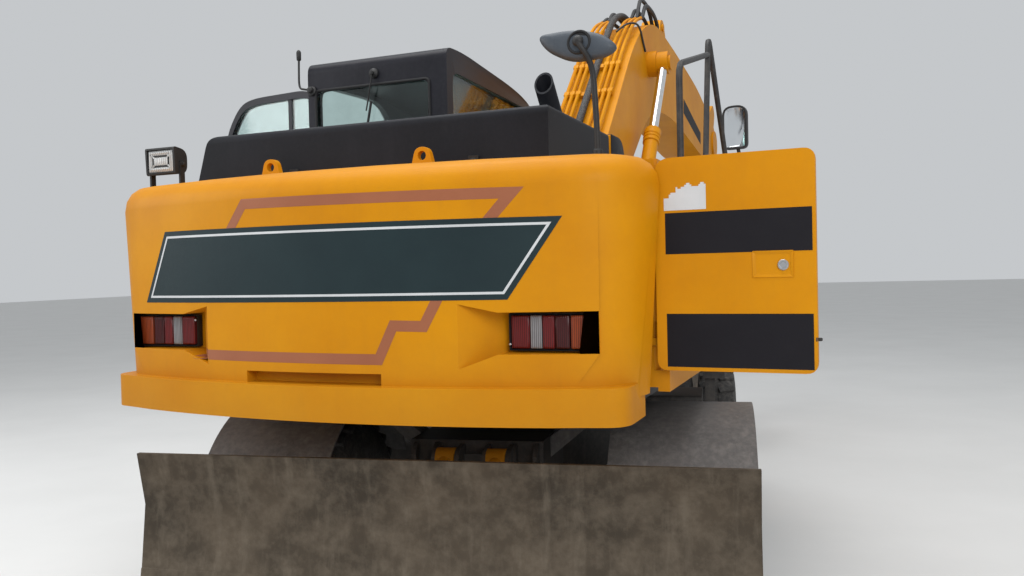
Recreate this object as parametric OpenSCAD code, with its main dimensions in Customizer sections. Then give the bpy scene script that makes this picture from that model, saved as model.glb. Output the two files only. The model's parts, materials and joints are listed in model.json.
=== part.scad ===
/* [Pose] */
// Turn of the upper structure on its ring, seen from above
slew_turn = -9; // [-170:1:170]
// How far the service door stands open
service_door_open = 93; // [0:1:100]
// How far the cab door stands open
cab_door_open = 75; // [0:1:110]
// Angle of the dipper from level, nose down
dipper_angle = -115; // [-120:1:-80]
// Turn of the bucket's link pin from the dipper's axis
bucket_curl = 30; // [10:1:60]
// Rise of the blade arms from level
blade_rise = 18; // [5:1:20]

/* [Undercarriage] */
// Outer diameter of a tyre
tyre_d = 1050; // [950:1:1100]
// Width of one tyre
tyre_w = 275; // [240:1:285]
// Distance between the middles of twin tyres
twin_pitch = 315; // [300:1:330]
// Width over the outer tyres
track_w = 2500; // [2450:1:2600]
// Diameter of the rim's tyre seat
rim_d = 520; // [480:1:560]
// Distance of the rear axle behind the slewing axis
rear_axle_back = 1200; // [1150:1:1250]
// Distance of the front axle ahead of the slewing axis
front_axle_ahead = 1400; // [1350:1:1450]
// Height of the chassis top plate
chassis_top = 1000; // [960:1:1020]
// Depth of the chassis box
chassis_h = 280; // [240:1:320]
// Half width of the chassis beams between the wheels
beam_half_w = 320; // [280:1:340]
// Half width of the chassis under the slewing ring
waist_half_w = 600; // [560:1:620]
// Radius of the slewing ring
ring_r = 560; // [520:1:580]
// Distance of the steered wheels' king pins from the middle
king_pin_x = 560; // [540:1:570]
// Length of the steering arms
steer_arm = 240; // [230:1:260]

/* [Blade] */
// Width of the blade
blade_w = 2500; // [2400:1:2550]
// Height of the blade
blade_h = 620; // [560:1:680]
// Length of the blade's parallel arms
blade_arm = 650; // [600:1:700]
// Thickness of the blade plate
blade_t = 22; // [16:1:30]

/* [Upper structure] */
// Height of the deck's underside
deck_bottom = 1200; // [1180:1:1230]
// Thickness of the deck
deck_t = 140; // [120:1:160]
// Half width of the upper structure
body_half_w = 1245; // [1200:1:1260]
// Height of the counterweight's top
weight_top = 2205; // [2150:1:2240]
// Rearmost reach of the counterweight
tail_reach = 2345; // [2300:1:2400]
// Radius of the counterweight's rear curve
tail_curve = 4000; // [3500:10:6000]
// Height of the bumper ledge
bumper_top = 1375; // [1350:1:1400]
// How far the bumper stands out
bumper_out = 45; // [30:1:60]
// Height of the engine hood's top
hood_top = 2505; // [2450:1:2520]
// Depth of the tail lamps' light face
lamp_h = 138; // [120:1:150]
// Width of a tail lamp
lamp_w = 336; // [300:1:360]

/* [Cab] */
// Height of the cab roof
cab_top = 3112; // [3080:1:3150]
// Left side of the cab
cab_left = -1250; // [-1255:1:-1230]
// Right side of the cab
cab_right = -297; // [-300:1:-296]
// Rear wall of the cab
cab_rear = -560; // [-580:1:-540]
// Front of the cab
cab_front = 1230; // [1200:1:1260]
// Thickness of the cab walls
cab_wall = 45; // [35:1:60]
// Width of the cab door
cab_door_w = 950; // [900:1:980]

/* [Boom and dipper] */
// Offset of the arm's middle plane to the right
arm_x = 100; // [80:1:120]
// Half width of the boom box
boom_half_w = 205; // [195:1:208]
// Boom foot pin, forward and up
boom_foot = [20, 1800];
// Dipper pin at the boom tip, forward and up
dipper_pin = [5400, 3230];
// Lift ram eye on the boom, forward and up
lift_eye = [2050, 3470];
// Lift ram foot, forward and up
lift_foot = [600, 1500];
// Offset of each lift ram from the arm's middle plane
lift_off = 325; // [318:1:328]
// Radius of the lift barrels
lift_barrel_r = 55; // [50:1:57]
// Length of the lift barrels from foot pin to gland
lift_barrel_l = 1670; // [1600:1:1720]
// Radius of the lift rods
lift_rod_r = 37; // [32:1:42]
// Dipper ram foot on the boom, forward and up
dipper_ram_foot = [3150, 4060];
// Length from dipper pin to bucket pin
dipper_l = 2400; // [2200:1:2500]
// Half width of the dipper
dipper_half_w = 124; // [118:1:125]
// Half width of the dipper nose
nose_half_w = 110; // [104:1:112]
// Width of the bucket
bucket_w = 1050; // [800:1:1200]
// Number of bucket teeth
bucket_teeth = 5; // [4:1:6]

/* [Fits] */
// Radial clearance of pins in their bores
pin_gap = 0.1; // [0.05:0.01:0.1]
// Face gap between parts that seat without touching
seat_gap = 0.3; // [0.2:0.05:0.5]
// Clearance between moving panels and frames
panel_gap = 6; // [5:1:8]

/* [Hidden] */
$fn = 48;

yellow = "#e0a010";
black = "#26282a";
grey = "#5a5c5e";
steel = "#8a8c8e";

// Wheels and axles
tyre_r = tyre_d / 2;
axle_z = tyre_r;
outer_tyre_x = track_w / 2 - tyre_w / 2;
inner_tyre_x = outer_tyre_x - twin_pitch;
hub_in_x = 605;
hub_out_x = outer_tyre_x + 60;
hub_r = 150;
king_h = 150;
fork_l = 160;
spindle_r = 70;
spindle_in = 160;
diff_r = 180;
axle_tube_r = 95;
saddle_x = 135;
saddle_w = 110;
saddle_z = axle_z + 155;

// Blade linkage
blade_pivot_y = -1480;
blade_low_z = 560;
blade_pivot_gap = 200;
blade_arm_x = 240;
blade_ram_x = 120;
blade_ram_half = 44;
blade_ram_foot = [-1520, 930];
blade_ram_at = 520;
blade_face_y = -2185;
blade_pin_r = 24;

// Upper structure
deck_top = deck_bottom + deck_t;
ring_gap_z = deck_bottom - 50;
bracket_in = boom_half_w + 7;
bracket_t = 30;
bracket_out = bracket_in + bracket_t;
weight_front = -tail_reach + 725;
weight_side_front = -tail_reach + 390;
weight_half_w = body_half_w - 10;
weight_step_x = body_half_w - 205;
weight_rim = 110;
skirt_z = 1325;
lug_y = -tail_reach + 625;
body_top = weight_top - 5;
skin_t = 45;
bay_rear = weight_side_front + 52;
side_door_hinge = [body_half_w - 37, weight_side_front + 50];
side_door_w = 575;
side_door_t = 34;
side_door_z0 = 1410;
side_door_z1 = body_top - 8;
side_hinge_z = [1560, 2050];
rear_mirror_at = [body_half_w - 260, -tail_reach + 445];
latch_ahead = 352;
latch_z = 1748;
tank_inner_x = 660;
tank_front = 420;
hood_rear = -tail_reach + 745;
hood_front = -630;
hood_hinge = [-642, hood_top - 50];
hood_hinge_x = [-850, 200];
hood_t = 22;
hood_left = -1228;
hood_lean = 90;
hood_right = 680;
bulkhead_y = -596;
step_box_top = 1830;
step_top = 1580;
lamp_x = body_half_w - 361;
lamp_z = 1568;
lamp_face_y = -tail_reach + 151;
lamp_ramp = 145;
exhaust_at = [316, -470, hood_top + seat_gap];
rail_x = body_half_w - 115;
front_mirror_at = [body_half_w - 128, 1070, 2744];
cab_floor_z = deck_top + seat_gap;
cab_door_rear = -470;
cab_door_z0 = 1410;
cab_door_z1 = 2990;
cab_hinge = [cab_left - 14, cab_door_rear - 4];
cab_hinge_z = [1700, 2700];
cab_sill_z = 2330;

// Arm linkage angles and lengths, all in the arm's own plane
lift_dir = lift_eye - lift_foot;
lift_len = norm(lift_dir);
lift_ang = atan2(lift_dir[1], lift_dir[0]);
dipper_tail = [-634, 296];
function turn2(v, a) = [v[0] * cos(a) - v[1] * sin(a), v[0] * sin(a) + v[1] * cos(a)];
dipper_ram_eye = dipper_pin + turn2(dipper_tail, dipper_angle);
dipper_ram_dir = dipper_ram_eye - dipper_ram_foot;
dipper_ram_len = norm(dipper_ram_dir);
dipper_ram_ang = atan2(dipper_ram_dir[1], dipper_ram_dir[0]);
dipper_barrel_l = 1560;
dipper_barrel_r = 60;
dipper_rod_r = 36;

// Bucket linkage in the dipper's frame: along the dipper, then outwards
lever_pin = [1960, 20];
lever_l = 500;
link_l = 480;
bucket_pin_l = 360;
bucket_ram_foot = [500, 430];
bucket_pin = [dipper_l, 0];
link_pin = bucket_pin + bucket_pin_l * [cos(bucket_curl), sin(bucket_curl)];
reach = link_pin - lever_pin;
reach_l = norm(reach);
along = (lever_l * lever_l - link_l * link_l + reach_l * reach_l) / (2 * reach_l);
across = sqrt(lever_l * lever_l - along * along);
lever_end = lever_pin + along * reach / reach_l + across * [-reach[1], reach[0]] / reach_l;
lever_ang = atan2(lever_end[1] - lever_pin[1], lever_end[0] - lever_pin[0]);
link_ang = atan2(lever_end[1] - link_pin[1], lever_end[0] - link_pin[0]);
bucket_ram_dir = lever_end - bucket_ram_foot;
bucket_ram_len = norm(bucket_ram_dir);
bucket_ram_ang = atan2(bucket_ram_dir[1], bucket_ram_dir[0]);
bucket_barrel_l = 990;
bucket_barrel_r = 50;
bucket_rod_r = 30;
blade_dir = 180 - blade_rise;
blade_low = [blade_pivot_y, blade_low_z] + blade_arm * [cos(blade_dir), sin(blade_dir)];
blade_bottom = blade_low[1] - 311;
blade_ram_eye = [blade_pivot_y, blade_low_z] + blade_ram_at * [cos(blade_dir), sin(blade_dir)];
blade_ram_dir = blade_ram_eye - blade_ram_foot;
blade_ram_len = norm(blade_ram_dir);
blade_ram_ang = atan2(blade_ram_dir[1], blade_ram_dir[0]);
blade_barrel_l = 390;

// Pipes along the boom's back: offset across it and height of the hose loop that follows
boom_pipe_rows = [[-190, 70], [-145, 110], [-100, 90], [50, 120], [95, 210], [140, 150]];
pipe_off = 34;
pipe_r = 14;
hose_r = 17;
pipe_end = [2056, 3864];
pipe_dir = [250, 90] / norm([250, 90]);
boom_bend = [2250, 3880];
boom_front = [3100, 3830];
boom_fall = (boom_bend[1] - boom_front[1]) / (boom_front[0] - boom_bend[0]);
hose_block = [2660, boom_bend[1] - (2660 - boom_bend[0]) * boom_fall];

// Outline with its corners rounded: each row is x, y and how far the rounding reaches
function corner_cut(p, q, reach) = p + (q - p) * min(reach / norm(q - p), 0.49);
function rounded(rows, steps = 5) = [
    for (i = [0:len(rows) - 1])
        let (
            n = len(rows),
            here = [rows[i][0], rows[i][1]],
            last = [rows[(i + n - 1) % n][0], rows[(i + n - 1) % n][1]],
            next = [rows[(i + 1) % n][0], rows[(i + 1) % n][1]],
            a = corner_cut(here, last, rows[i][2]),
            b = corner_cut(here, next, rows[i][2])
        )
        each rows[i][2] == 0 ? [here] : [
            for (k = [0:steps])
                let (s = k / steps) a * (1 - s) * (1 - s) + here * 2 * s * (1 - s) + b * s * s
        ]
];

// Open path in space with its bends rounded
function smooth_path(pts, reach, steps = 4) = [
    for (i = [0:len(pts) - 1])
        each (i == 0 || i == len(pts) - 1) ? [pts[i]] : let (
            a = corner_cut(pts[i], pts[i - 1], reach),
            b = corner_cut(pts[i], pts[i + 1], reach)
        ) [
            for (k = [0:steps])
                let (s = k / steps) a * (1 - s) * (1 - s) + pts[i] * 2 * s * (1 - s) + b * s * s
        ]
];

function unit(v) = v / norm(v);
function path_dir(p, i) = unit(
    (i < len(p) - 1 ? unit(p[i + 1] - p[i]) : [0, 0, 0])
    + (i > 0 ? unit(p[i] - p[i - 1]) : [0, 0, 0])
);

// Solid through rings of equally many points
module loft(rings) {
    n = len(rings[0]);
    last = len(rings) - 1;
    walls = [
        for (i = [0:last - 1], k = [0:n - 1])
            let (a = i * n + k, b = i * n + (k + 1) % n)
            [a, a + n, b + n, b]
    ];
    start = [for (k = [0:n - 1]) k];
    end = [for (k = [n - 1:-1:0]) last * n + k];
    polyhedron([for (ring = rings) each ring], concat(walls, [start, end]));
}

// Tube swept along a path; side is a direction that the path never follows
module tube(p, r, side = [1, 0, 0], sides = 8) {
    loft([
        for (i = [0:len(p) - 1])
            let (t = path_dir(p, i), u = unit(cross(side, t)), v = cross(t, u))
            [for (k = [0:sides - 1]) p[i] + r * (cos(360 * k / sides) * u + sin(360 * k / sides) * v)]
    ]);
}

// Plate cut to an outline of forward and up, standing across the width from x to x + t
module plate(outline, x, t) {
    translate([x, 0, 0]) rotate([90, 0, 90]) linear_extrude(t) polygon(outline);
}

// Round bar along the width, centred on forward and up
module cross_bar(at, r, x0, x1) {
    translate([x0, at[0], at[1]]) rotate([0, 90, 0]) cylinder(r = r, h = x1 - x0);
}

// Straight bar in the arm's plane from a point, along an angle
module plane_bar(at, ang, from, to, r, x) {
    translate([x, at[0], at[1]]) rotate([ang, 0, 0]) translate([0, from, 0])
        rotate([-90, 0, 0]) cylinder(r = r, h = to - from);
}

module on_upper() {
    rotate([0, 0, slew_turn]) children();
}

module on_arm() {
    on_upper() translate([arm_x, 0, 0]) children();
}

module on_dipper() {
    on_arm() translate([0, dipper_pin[0], dipper_pin[1]]) rotate([dipper_angle, 0, 0]) children();
}

module on_bucket() {
    on_dipper() translate([0, bucket_pin[0], bucket_pin[1]]) rotate([bucket_curl, 0, 0]) children();
}

module both_sides() {
    children();
    mirror([1, 0, 0]) children();
}

// Undercarriage
module chassis_plan() {
    right = [
        [beam_half_w, -1440], [beam_half_w, -900], [waist_half_w, -520],
        [waist_half_w, 520], [beam_half_w, 900], [beam_half_w - 40, 1860]
    ];
    left = [for (i = [len(right) - 1:-1:0]) [-right[i][0], right[i][1]]];
    polygon(concat(right, left));
}

module blade_lug_outline() {
    polygon(rounded([
        [-1380, 470, 0], [-1380, 990, 0], [-1470, 990, 40], [-1520, 900, 30], [-1520, 800, 20],
        [-1545, 790, 20], [-1545, 520, 30], [-1500, 470, 20]
    ]));
}

module chassis() {
    color(black) {
        difference() {
            union() {
                translate([0, 0, chassis_top - chassis_h]) linear_extrude(chassis_h) chassis_plan();
                translate([0, 0, chassis_top]) cylinder(r1 = ring_r + 40, r2 = ring_r, h = 60, $fn = 96);
                translate([0, 0, chassis_top + 60])
                    cylinder(r = ring_r, h = ring_gap_z - chassis_top - 60, $fn = 96);
                // Axle saddles
                both_sides() for (y = [-rear_axle_back, front_axle_ahead])
                    translate([saddle_x, y - 110, saddle_z]) cube([saddle_w, 220, chassis_top - saddle_z - 100]);
                // Blade lugs
                both_sides() for (x = [blade_arm_x - 62, blade_arm_x + 40])
                    translate([x, 0, 0]) rotate([90, 0, 90]) linear_extrude(22) blade_lug_outline();
                both_sides() for (x = [blade_ram_x - blade_ram_half - 22 - seat_gap, blade_ram_x + blade_ram_half + seat_gap])
                    translate([x, 0, 0]) rotate([90, 0, 90]) linear_extrude(22) polygon(rounded([
                        [-1400, 800, 0], [-1400, 990, 0], [-1530, 975, 30], [-1566, 930, 30],
                        [-1530, 880, 30]
                    ]));
                translate([-170, -1460, 740]) cube([340, 60, 200]);
            }
            translate([0, 0, chassis_top - 40]) cylinder(r = 300, h = 400);
            for (z = [blade_low_z, blade_low_z + blade_pivot_gap])
                cross_bar([blade_pivot_y, z], blade_pin_r, -400, 400);
            cross_bar(blade_ram_foot, blade_pin_r, -400, 400);
            // Lashing eyes in the front cheeks
            cross_bar([1815, 800], 32, -400, 400);
            translate([-230, 1740, 680]) cube([460, 200, 400]);
        }
        // Pins of the blade's chassis joints
        both_sides() for (z = [blade_low_z, blade_low_z + blade_pivot_gap])
            cross_bar([blade_pivot_y, z], blade_pin_r, blade_arm_x - 62, blade_arm_x + 62);
        both_sides()
            cross_bar(blade_ram_foot, blade_pin_r, blade_ram_x - blade_ram_half - 22, blade_ram_x + blade_ram_half + 22);
    }
}

module transmission() {
    color(grey) {
        translate([-170, -330, 430]) cube([340, 420, 270]);
        translate([0, -330, 540]) rotate([90, 0, 0]) cylinder(r = 38, h = 560);
        translate([0, 90, 540]) rotate([-90, 0, 0]) cylinder(r = 38, h = 1000);
        translate([-120, -240, 700]) cube([240, 240, 20 - seat_gap]);
    }
}

module axle_casing(y, end_x) {
    translate([0, y, axle_z]) rotate([0, 90, 0]) rotate_extrude() polygon([
        [0, -end_x], [axle_tube_r, -end_x], [axle_tube_r, -270], [146, -140], [diff_r, -70],
        [diff_r, 70], [146, 140], [axle_tube_r, 270], [axle_tube_r, end_x], [0, end_x]
    ]);
}

module axle_pads(y) {
    both_sides() translate([saddle_x + 5, y - 90, axle_z + 40])
        cube([saddle_w - 10, 180, saddle_z - axle_z - 40 - seat_gap]);
}

module rear_axle() {
    color(grey) {
        axle_casing(-rear_axle_back, hub_in_x - 5);
        both_sides() translate([hub_in_x - 6, -rear_axle_back, axle_z]) rotate([0, 90, 0])
            cylinder(r = spindle_r, h = spindle_in);
        axle_pads(-rear_axle_back);
    }
}

module front_axle() {
    color(grey) difference() {
        union() {
            axle_casing(front_axle_ahead, king_pin_x - fork_l);
            axle_pads(front_axle_ahead);
            // Forks that hold the king pins
            both_sides() for (s = [1, -1]) {
                translate([king_pin_x - fork_l, front_axle_ahead - 70, axle_z + s * king_h - 25])
                    cube([fork_l, 140, 50]);
                translate([king_pin_x, front_axle_ahead, axle_z + s * king_h - 25])
                    cylinder(r = 60, h = 50);
            }
            both_sides() translate([king_pin_x - fork_l, front_axle_ahead - 70, axle_z - king_h - 25])
                cube([40, 140, 2 * king_h + 50]);
            // Steering cylinder behind the casing
            translate([-190, front_axle_ahead - steer_arm, axle_z + 30]) rotate([0, 90, 0])
                cylinder(r = 42, h = 380);
            for (x = [-120, 80])
                translate([x, front_axle_ahead - steer_arm, axle_z + 10]) cube([40, 130, 40]);
        }
        translate([-400, front_axle_ahead - steer_arm, axle_z + 30]) rotate([0, 90, 0])
            cylinder(r = 20 + seat_gap, h = 800);
        both_sides() translate([king_pin_x, front_axle_ahead, axle_z - 300])
            cylinder(r = 28 + pin_gap, h = 600);
    }
}

module knuckle() {
    translate([king_pin_x, front_axle_ahead, axle_z - king_h + 25 + seat_gap])
        cylinder(r = 62, h = 2 * (king_h - 25 - seat_gap));
    translate([king_pin_x, front_axle_ahead, axle_z]) rotate([0, 90, 0])
        cylinder(r = spindle_r, h = hub_in_x - king_pin_x + spindle_in);
    // King pins run in the forks
    translate([king_pin_x, front_axle_ahead, axle_z - king_h - 40]) cylinder(r = 28, h = 2 * king_h + 80);
    // Steering arm
    hull() {
        translate([king_pin_x, front_axle_ahead, axle_z - 30]) cylinder(r = 55, h = 34);
        translate([king_pin_x, front_axle_ahead - steer_arm, axle_z - 30]) cylinder(r = 34, h = 34);
    }
}

module steering_rod() {
    color(steel) {
        translate([-king_pin_x, front_axle_ahead - steer_arm, axle_z + 30]) rotate([0, 90, 0])
            cylinder(r = 20, h = 2 * king_pin_x);
        both_sides() translate([king_pin_x, front_axle_ahead - steer_arm, axle_z + 4 + seat_gap])
            cylinder(r = 34, h = 52);
    }
}

// Twin tyres of one wheel, on the right side
module tyre_pair(y) {
    half = tyre_w / 2;
    seat = rim_d / 2 + seat_gap;
    section = [
        [seat, -half + 45], [seat + 60, -half + 12], [tyre_r - 150, -half], [tyre_r - 45, -half + 14],
        [tyre_r - 8, -half + 40], [tyre_r, -half + 75], [tyre_r, half - 75], [tyre_r - 8, half - 40],
        [tyre_r - 45, half - 14], [tyre_r - 150, half], [seat + 60, half - 12], [seat, half - 45]
    ];
    for (x = [inner_tyre_x, outer_tyre_x])
        translate([x, y, axle_z]) rotate([0, 90, 0]) rotate_extrude($fn = 72) polygon(section);
}

// Rims, spacer and hub of one wheel, on the right side
module rim_pair(y) {
    r = rim_d / 2;
    difference() {
        translate([0, y, axle_z]) rotate([0, 90, 0]) rotate_extrude($fn = 72) polygon([
            [0, hub_in_x + 20], [hub_r + 25, hub_in_x + 20], [hub_r + 25, inner_tyre_x - 60],
            [r - 25, inner_tyre_x - 60], [r - 25, inner_tyre_x - tyre_w / 2 + 40],
            [r + 18, inner_tyre_x - tyre_w / 2 + 30], [r, inner_tyre_x - tyre_w / 2 + 44],
            [r, outer_tyre_x + tyre_w / 2 - 44], [r + 18, outer_tyre_x + tyre_w / 2 - 30],
            [r - 25, outer_tyre_x + tyre_w / 2 - 40], [r - 25, outer_tyre_x - 10],
            [hub_r + 60, outer_tyre_x - 50], [hub_r, outer_tyre_x - 50],
            [hub_r, hub_out_x - 30], [hub_r - 40, hub_out_x], [0, hub_out_x]
        ]);
        translate([hub_in_x, y, axle_z]) rotate([0, 90, 0])
            cylinder(r = spindle_r + pin_gap, h = spindle_in + seat_gap);
    }
}

module rear_mudguards() {
    inner_r = tyre_r + 90;
    outer_x = track_w / 2 + 15;
    color(black) both_sides() {
        translate([640, -rear_axle_back, axle_z]) rotate([90, 0, 90]) linear_extrude(outer_x - 640)
            mudguard_arc(inner_r, inner_r + 10);
        // Outer lip and the stiffening tube along the rear end
        translate([outer_x - 10, -rear_axle_back, axle_z]) rotate([90, 0, 90]) linear_extrude(10)
            mudguard_arc(inner_r - 55, inner_r + 10);
        cross_bar([-rear_axle_back - inner_r - 5, axle_z + 40], 16, 640, outer_x);
        // Bracket arms from the chassis beams
        for (y = [-rear_axle_back - 60, -rear_axle_back + 20])
            translate([0, y + 40, 0]) rotate([90, 0, 0]) linear_extrude(40) polygon([
                [beam_half_w + seat_gap, chassis_top - 110], [beam_half_w + seat_gap, chassis_top - 10],
                [560, axle_z + inner_r + 8], [700, axle_z + inner_r + 8], [700, axle_z + inner_r - 5],
                [600, axle_z + inner_r - 20]
            ]);
    }
}

module mudguard_arc(r0, r1) {
    difference() {
        circle(r = r1, $fn = 96);
        circle(r = r0, $fn = 96);
        polygon([[0, 0], [2000, 900], [2000, -2000], [-2000, -2000], [-2000, 60]]);
    }
}

// Tool boxes with their steps, between the axles
module side_boxes() {
    color(black) both_sides() {
        difference() {
            plate(rounded([
                [-545, 470, 60], [-545, 800, 30], [110, 800, 0], [110, 990, 30], [560, 990, 30],
                [560, 640, 120], [330, 430, 120], [-480, 430, 60]
            ]), 640, 380);
            translate([900, -200, 560]) cube([200, 420, 120]);
        }
        // Lower step ahead of the box and the ribbed step above it
        difference() {
            plate(rounded([[-460, 470, 60], [-460, 800, 30], [500, 800, 30], [500, 620, 100], [300, 450, 100]]),
                1019, 181);
            translate([1120, -200, 560]) cube([200, 420, 120]);
        }
        for (y = [240, 480]) translate([1040, y, 790]) cube([60, 12, 320]);
        translate([1030, 200, 1090]) cube([130, 320, 40]);
        for (k = [0:5]) translate([1030, 210 + k * 54, 1130]) cube([130, 30, 12]);
        for (y = [-300, 180]) translate([waist_half_w + seat_gap, y, 760])
            cube([640 - waist_half_w - seat_gap, 120, 40]);
        translate([waist_half_w + seat_gap, 180, 760]) cube([640 - waist_half_w - seat_gap, 120, 140]);
    }
}

// Blade and its parallel linkage; the arms rise backwards
module blade() {
    z0 = blade_bottom;
    fold = blade_h * 0.64;
    face = [[blade_face_y - 34, z0], [blade_face_y + 22, z0 + fold], [blade_face_y - 24, z0 + blade_h]];
    back = [for (i = [len(face) - 1:-1:0]) face[i] + [blade_t, 0]];
    pin_z = blade_low[1];
    color("#5b5042") {
        plate(concat(face, back), -blade_w / 2, blade_w);
        // Cutting edge
        plate([[blade_face_y - 48, z0 - 30], [blade_face_y - 24, z0 - 30], [blade_face_y + 6, z0 + 140],
            [blade_face_y - 18, z0 + 140]], -blade_w / 2, blade_w);
        // Back rib and the bracket plates
        plate(rounded([[blade_face_y + 10, z0 + 200, 0], [blade_face_y + 62, z0 + 210, 20],
            [blade_face_y + 62, z0 + 290, 20], [blade_face_y + 14, z0 + 300, 0]]), -blade_w / 2 + 60, blade_w - 120);
        both_sides() difference() {
            for (x = [blade_arm_x - 62, blade_arm_x + 40])
                plate(rounded([[blade_face_y + 8, z0 + 180, 0], [blade_low[0] + 42, pin_z - 60, 40],
                    [blade_low[0] + 46, pin_z + blade_pivot_gap + 30, 30],
                    [blade_low[0] - 20, pin_z + blade_pivot_gap + 52, 30],
                    [blade_face_y + 4, z0 + 560, 0], [blade_face_y + 35, z0 + fold, 0]]), x, 22);
            for (dz = [0, blade_pivot_gap])
                cross_bar(blade_low + [0, dz], blade_pin_r - 1, 0, 400);
        }
        both_sides() for (dz = [0, blade_pivot_gap])
            cross_bar(blade_low + [0, dz], blade_pin_r, blade_arm_x - 62, blade_arm_x + 62);
    }
}

// Arm between two blade pins, lying along y from its chassis pin
module blade_bar(z, h) {
    difference() {
        translate([0, blade_pivot_y, z]) rotate([180 - blade_rise, 0, 0]) difference() {
            union() {
                translate([blade_arm_x - 32, 0, -h / 2]) cube([64, blade_arm, h]);
                for (y = [0, blade_arm])
                    translate([blade_arm_x - 39.7, y, 0]) rotate([0, 90, 0]) cylinder(r = 35, h = 79.4);
            }
        }
        for (at = [[blade_pivot_y, z], [blade_pivot_y, z] + blade_arm * [cos(blade_dir), sin(blade_dir)]])
            cross_bar(at, blade_pin_r + pin_gap, 0, 400);
    }
}

module blade_lower_arms() {
    color(black) {
        both_sides() blade_bar(blade_low_z, 80);
        // Cross tube below the rams, with the ram lugs
        translate([0, blade_pivot_y, blade_low_z]) rotate([blade_dir, 0, 0]) {
            translate([-blade_arm_x + 20, 380, 10]) rotate([0, 90, 0])
                cylinder(r = 36, h = 2 * blade_arm_x - 40);
            both_sides() for (x = [blade_ram_x - 72, blade_ram_x + 50])
                plate(rounded([
                    [350, 40, 20], [350, -20, 20], [blade_ram_at - 30, -42, 30], [blade_ram_at + 40, -42, 30],
                    [blade_ram_at + 44, 30, 40], [430, 60, 20]
                ]), x, 22);
        }
    }
}

module blade_upper_links() {
    color(black) both_sides() blade_bar(blade_low_z + blade_pivot_gap, 56);
}

// Hydraulic ram halves, in the plane of forward and up
module ram_barrel(foot, ang, length, r, rod_r, x, eye_half, foot_pin_r, bottom, start = 0, eye_r = 0) {
    difference() {
        union() {
            plane_bar(foot, ang, start, length, r, x);
            plane_bar(foot, ang, length - 60, length + 6, r + 8, x);
            cross_bar(foot, max(eye_r, r * 1.15 + 8), x - eye_half, x + eye_half);
        }
        plane_bar(foot, ang, bottom, length + 20, rod_r + seat_gap, x);
        cross_bar(foot, foot_pin_r + pin_gap, x - 200, x + 200);
    }
}

module ram_rod(foot, ang, length, from, rod_r, eye_r, eye_half, x) {
    plane_bar(foot, ang, from, length - eye_r * 0.6, rod_r, x);
    cross_bar(foot + length * [cos(ang), sin(ang)], eye_r, x - eye_half, x + eye_half);
}

module blade_barrels() {
    color(yellow) both_sides()
        ram_barrel(blade_ram_foot, blade_ram_ang, blade_barrel_l, 36, 20, blade_ram_x, blade_ram_half,
            blade_pin_r, 90);
}

module blade_rods() {
    color(steel) both_sides()
        ram_rod(blade_ram_foot, blade_ram_ang, blade_ram_len, 120, 20, 34, 50 - seat_gap, blade_ram_x);
}

// Upper structure
deck_front = 1230;
module deck_plan(half_w) {
    nose = 640;
    polygon(rounded([
        [-half_w, weight_front + seat_gap, 0], [-half_w, deck_front + 20, 60], [cab_right - 20, deck_front + 20, 60],
        [cab_right - 20, nose, 0], [arm_x - bracket_out, nose, 0], [arm_x - bracket_out, nose + 80, 0],
        [arm_x + bracket_out, nose + 80, 0], [arm_x + bracket_out, nose, 0], [520, nose, 0], [520, deck_front, 60],
        [half_w, deck_front, 60], [half_w, weight_front + seat_gap, 0]
    ]));
}

module bracket_outline() {
    polygon(rounded([
        [-575, deck_top - 5, 0], [-540, 1560, 60], [-160, 1900, 80], [20, 1990, 120], [190, 1900, 100],
        [330, 1660, 80], [560, 1610, 60], [700, 1540, 60], [715, 1420, 40], [650, deck_top - 5, 0]
    ]));
}

module upper_frame() {
    color(black) {
        difference() {
            union() {
                translate([0, 0, deck_bottom]) linear_extrude(deck_t) deck_plan(body_half_w - 245);
                translate([0, 0, deck_top - 30]) linear_extrude(30) deck_plan(body_half_w - 50);
                translate([0, 0, ring_gap_z + seat_gap])
                    cylinder(r = ring_r, h = deck_bottom - ring_gap_z, $fn = 96);
                translate([arm_x, 0, 0]) both_sides() {
                    translate([bracket_in, 0, 0]) rotate([90, 0, 90]) linear_extrude(bracket_t) bracket_outline();
                    cross_bar(lift_foot, 58, bracket_out - 1, lift_off - 40 - seat_gap);
                    cross_bar(boom_foot, 110, bracket_out - 1, bracket_out + 24);
                }
            }
            translate([0, 0, ring_gap_z - 1]) cylinder(r = 300, h = 400);
            translate([arm_x, 0, 0]) cross_bar(boom_foot, 45, -300, 300);
        }
        translate([arm_x, 0, 0]) {
            cross_bar(boom_foot, 45, -bracket_out - 22, bracket_out + 22);
            both_sides() {
                cross_bar(lift_foot, 34, bracket_out - 2, lift_off + 58);
                cross_bar(lift_foot, 52, lift_off + 40 + seat_gap, lift_off + 58);
            }
        }
    }
}

// Rear face of the weight, seen from above
function tail_y(x) = -tail_reach + tail_curve - sqrt(tail_curve * tail_curve - x * x);

// Outline of the weight from above: half width, how far its rear stands out, corner reach
function weight_outline(half_w, out, reach) =
    let (flat_x = half_w - 2.1 * reach, corner_y = tail_y(0.96 * half_w) - out)
    rounded(concat(
        [[-half_w, weight_front, 0], [-half_w, corner_y, reach]],
        [for (i = [-8:8]) [i * flat_x / 8, tail_y(i * flat_x / 8) - out, 0]],
        [[half_w, corner_y, reach], [half_w, weight_front, 0]]
    ), 6);

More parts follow.
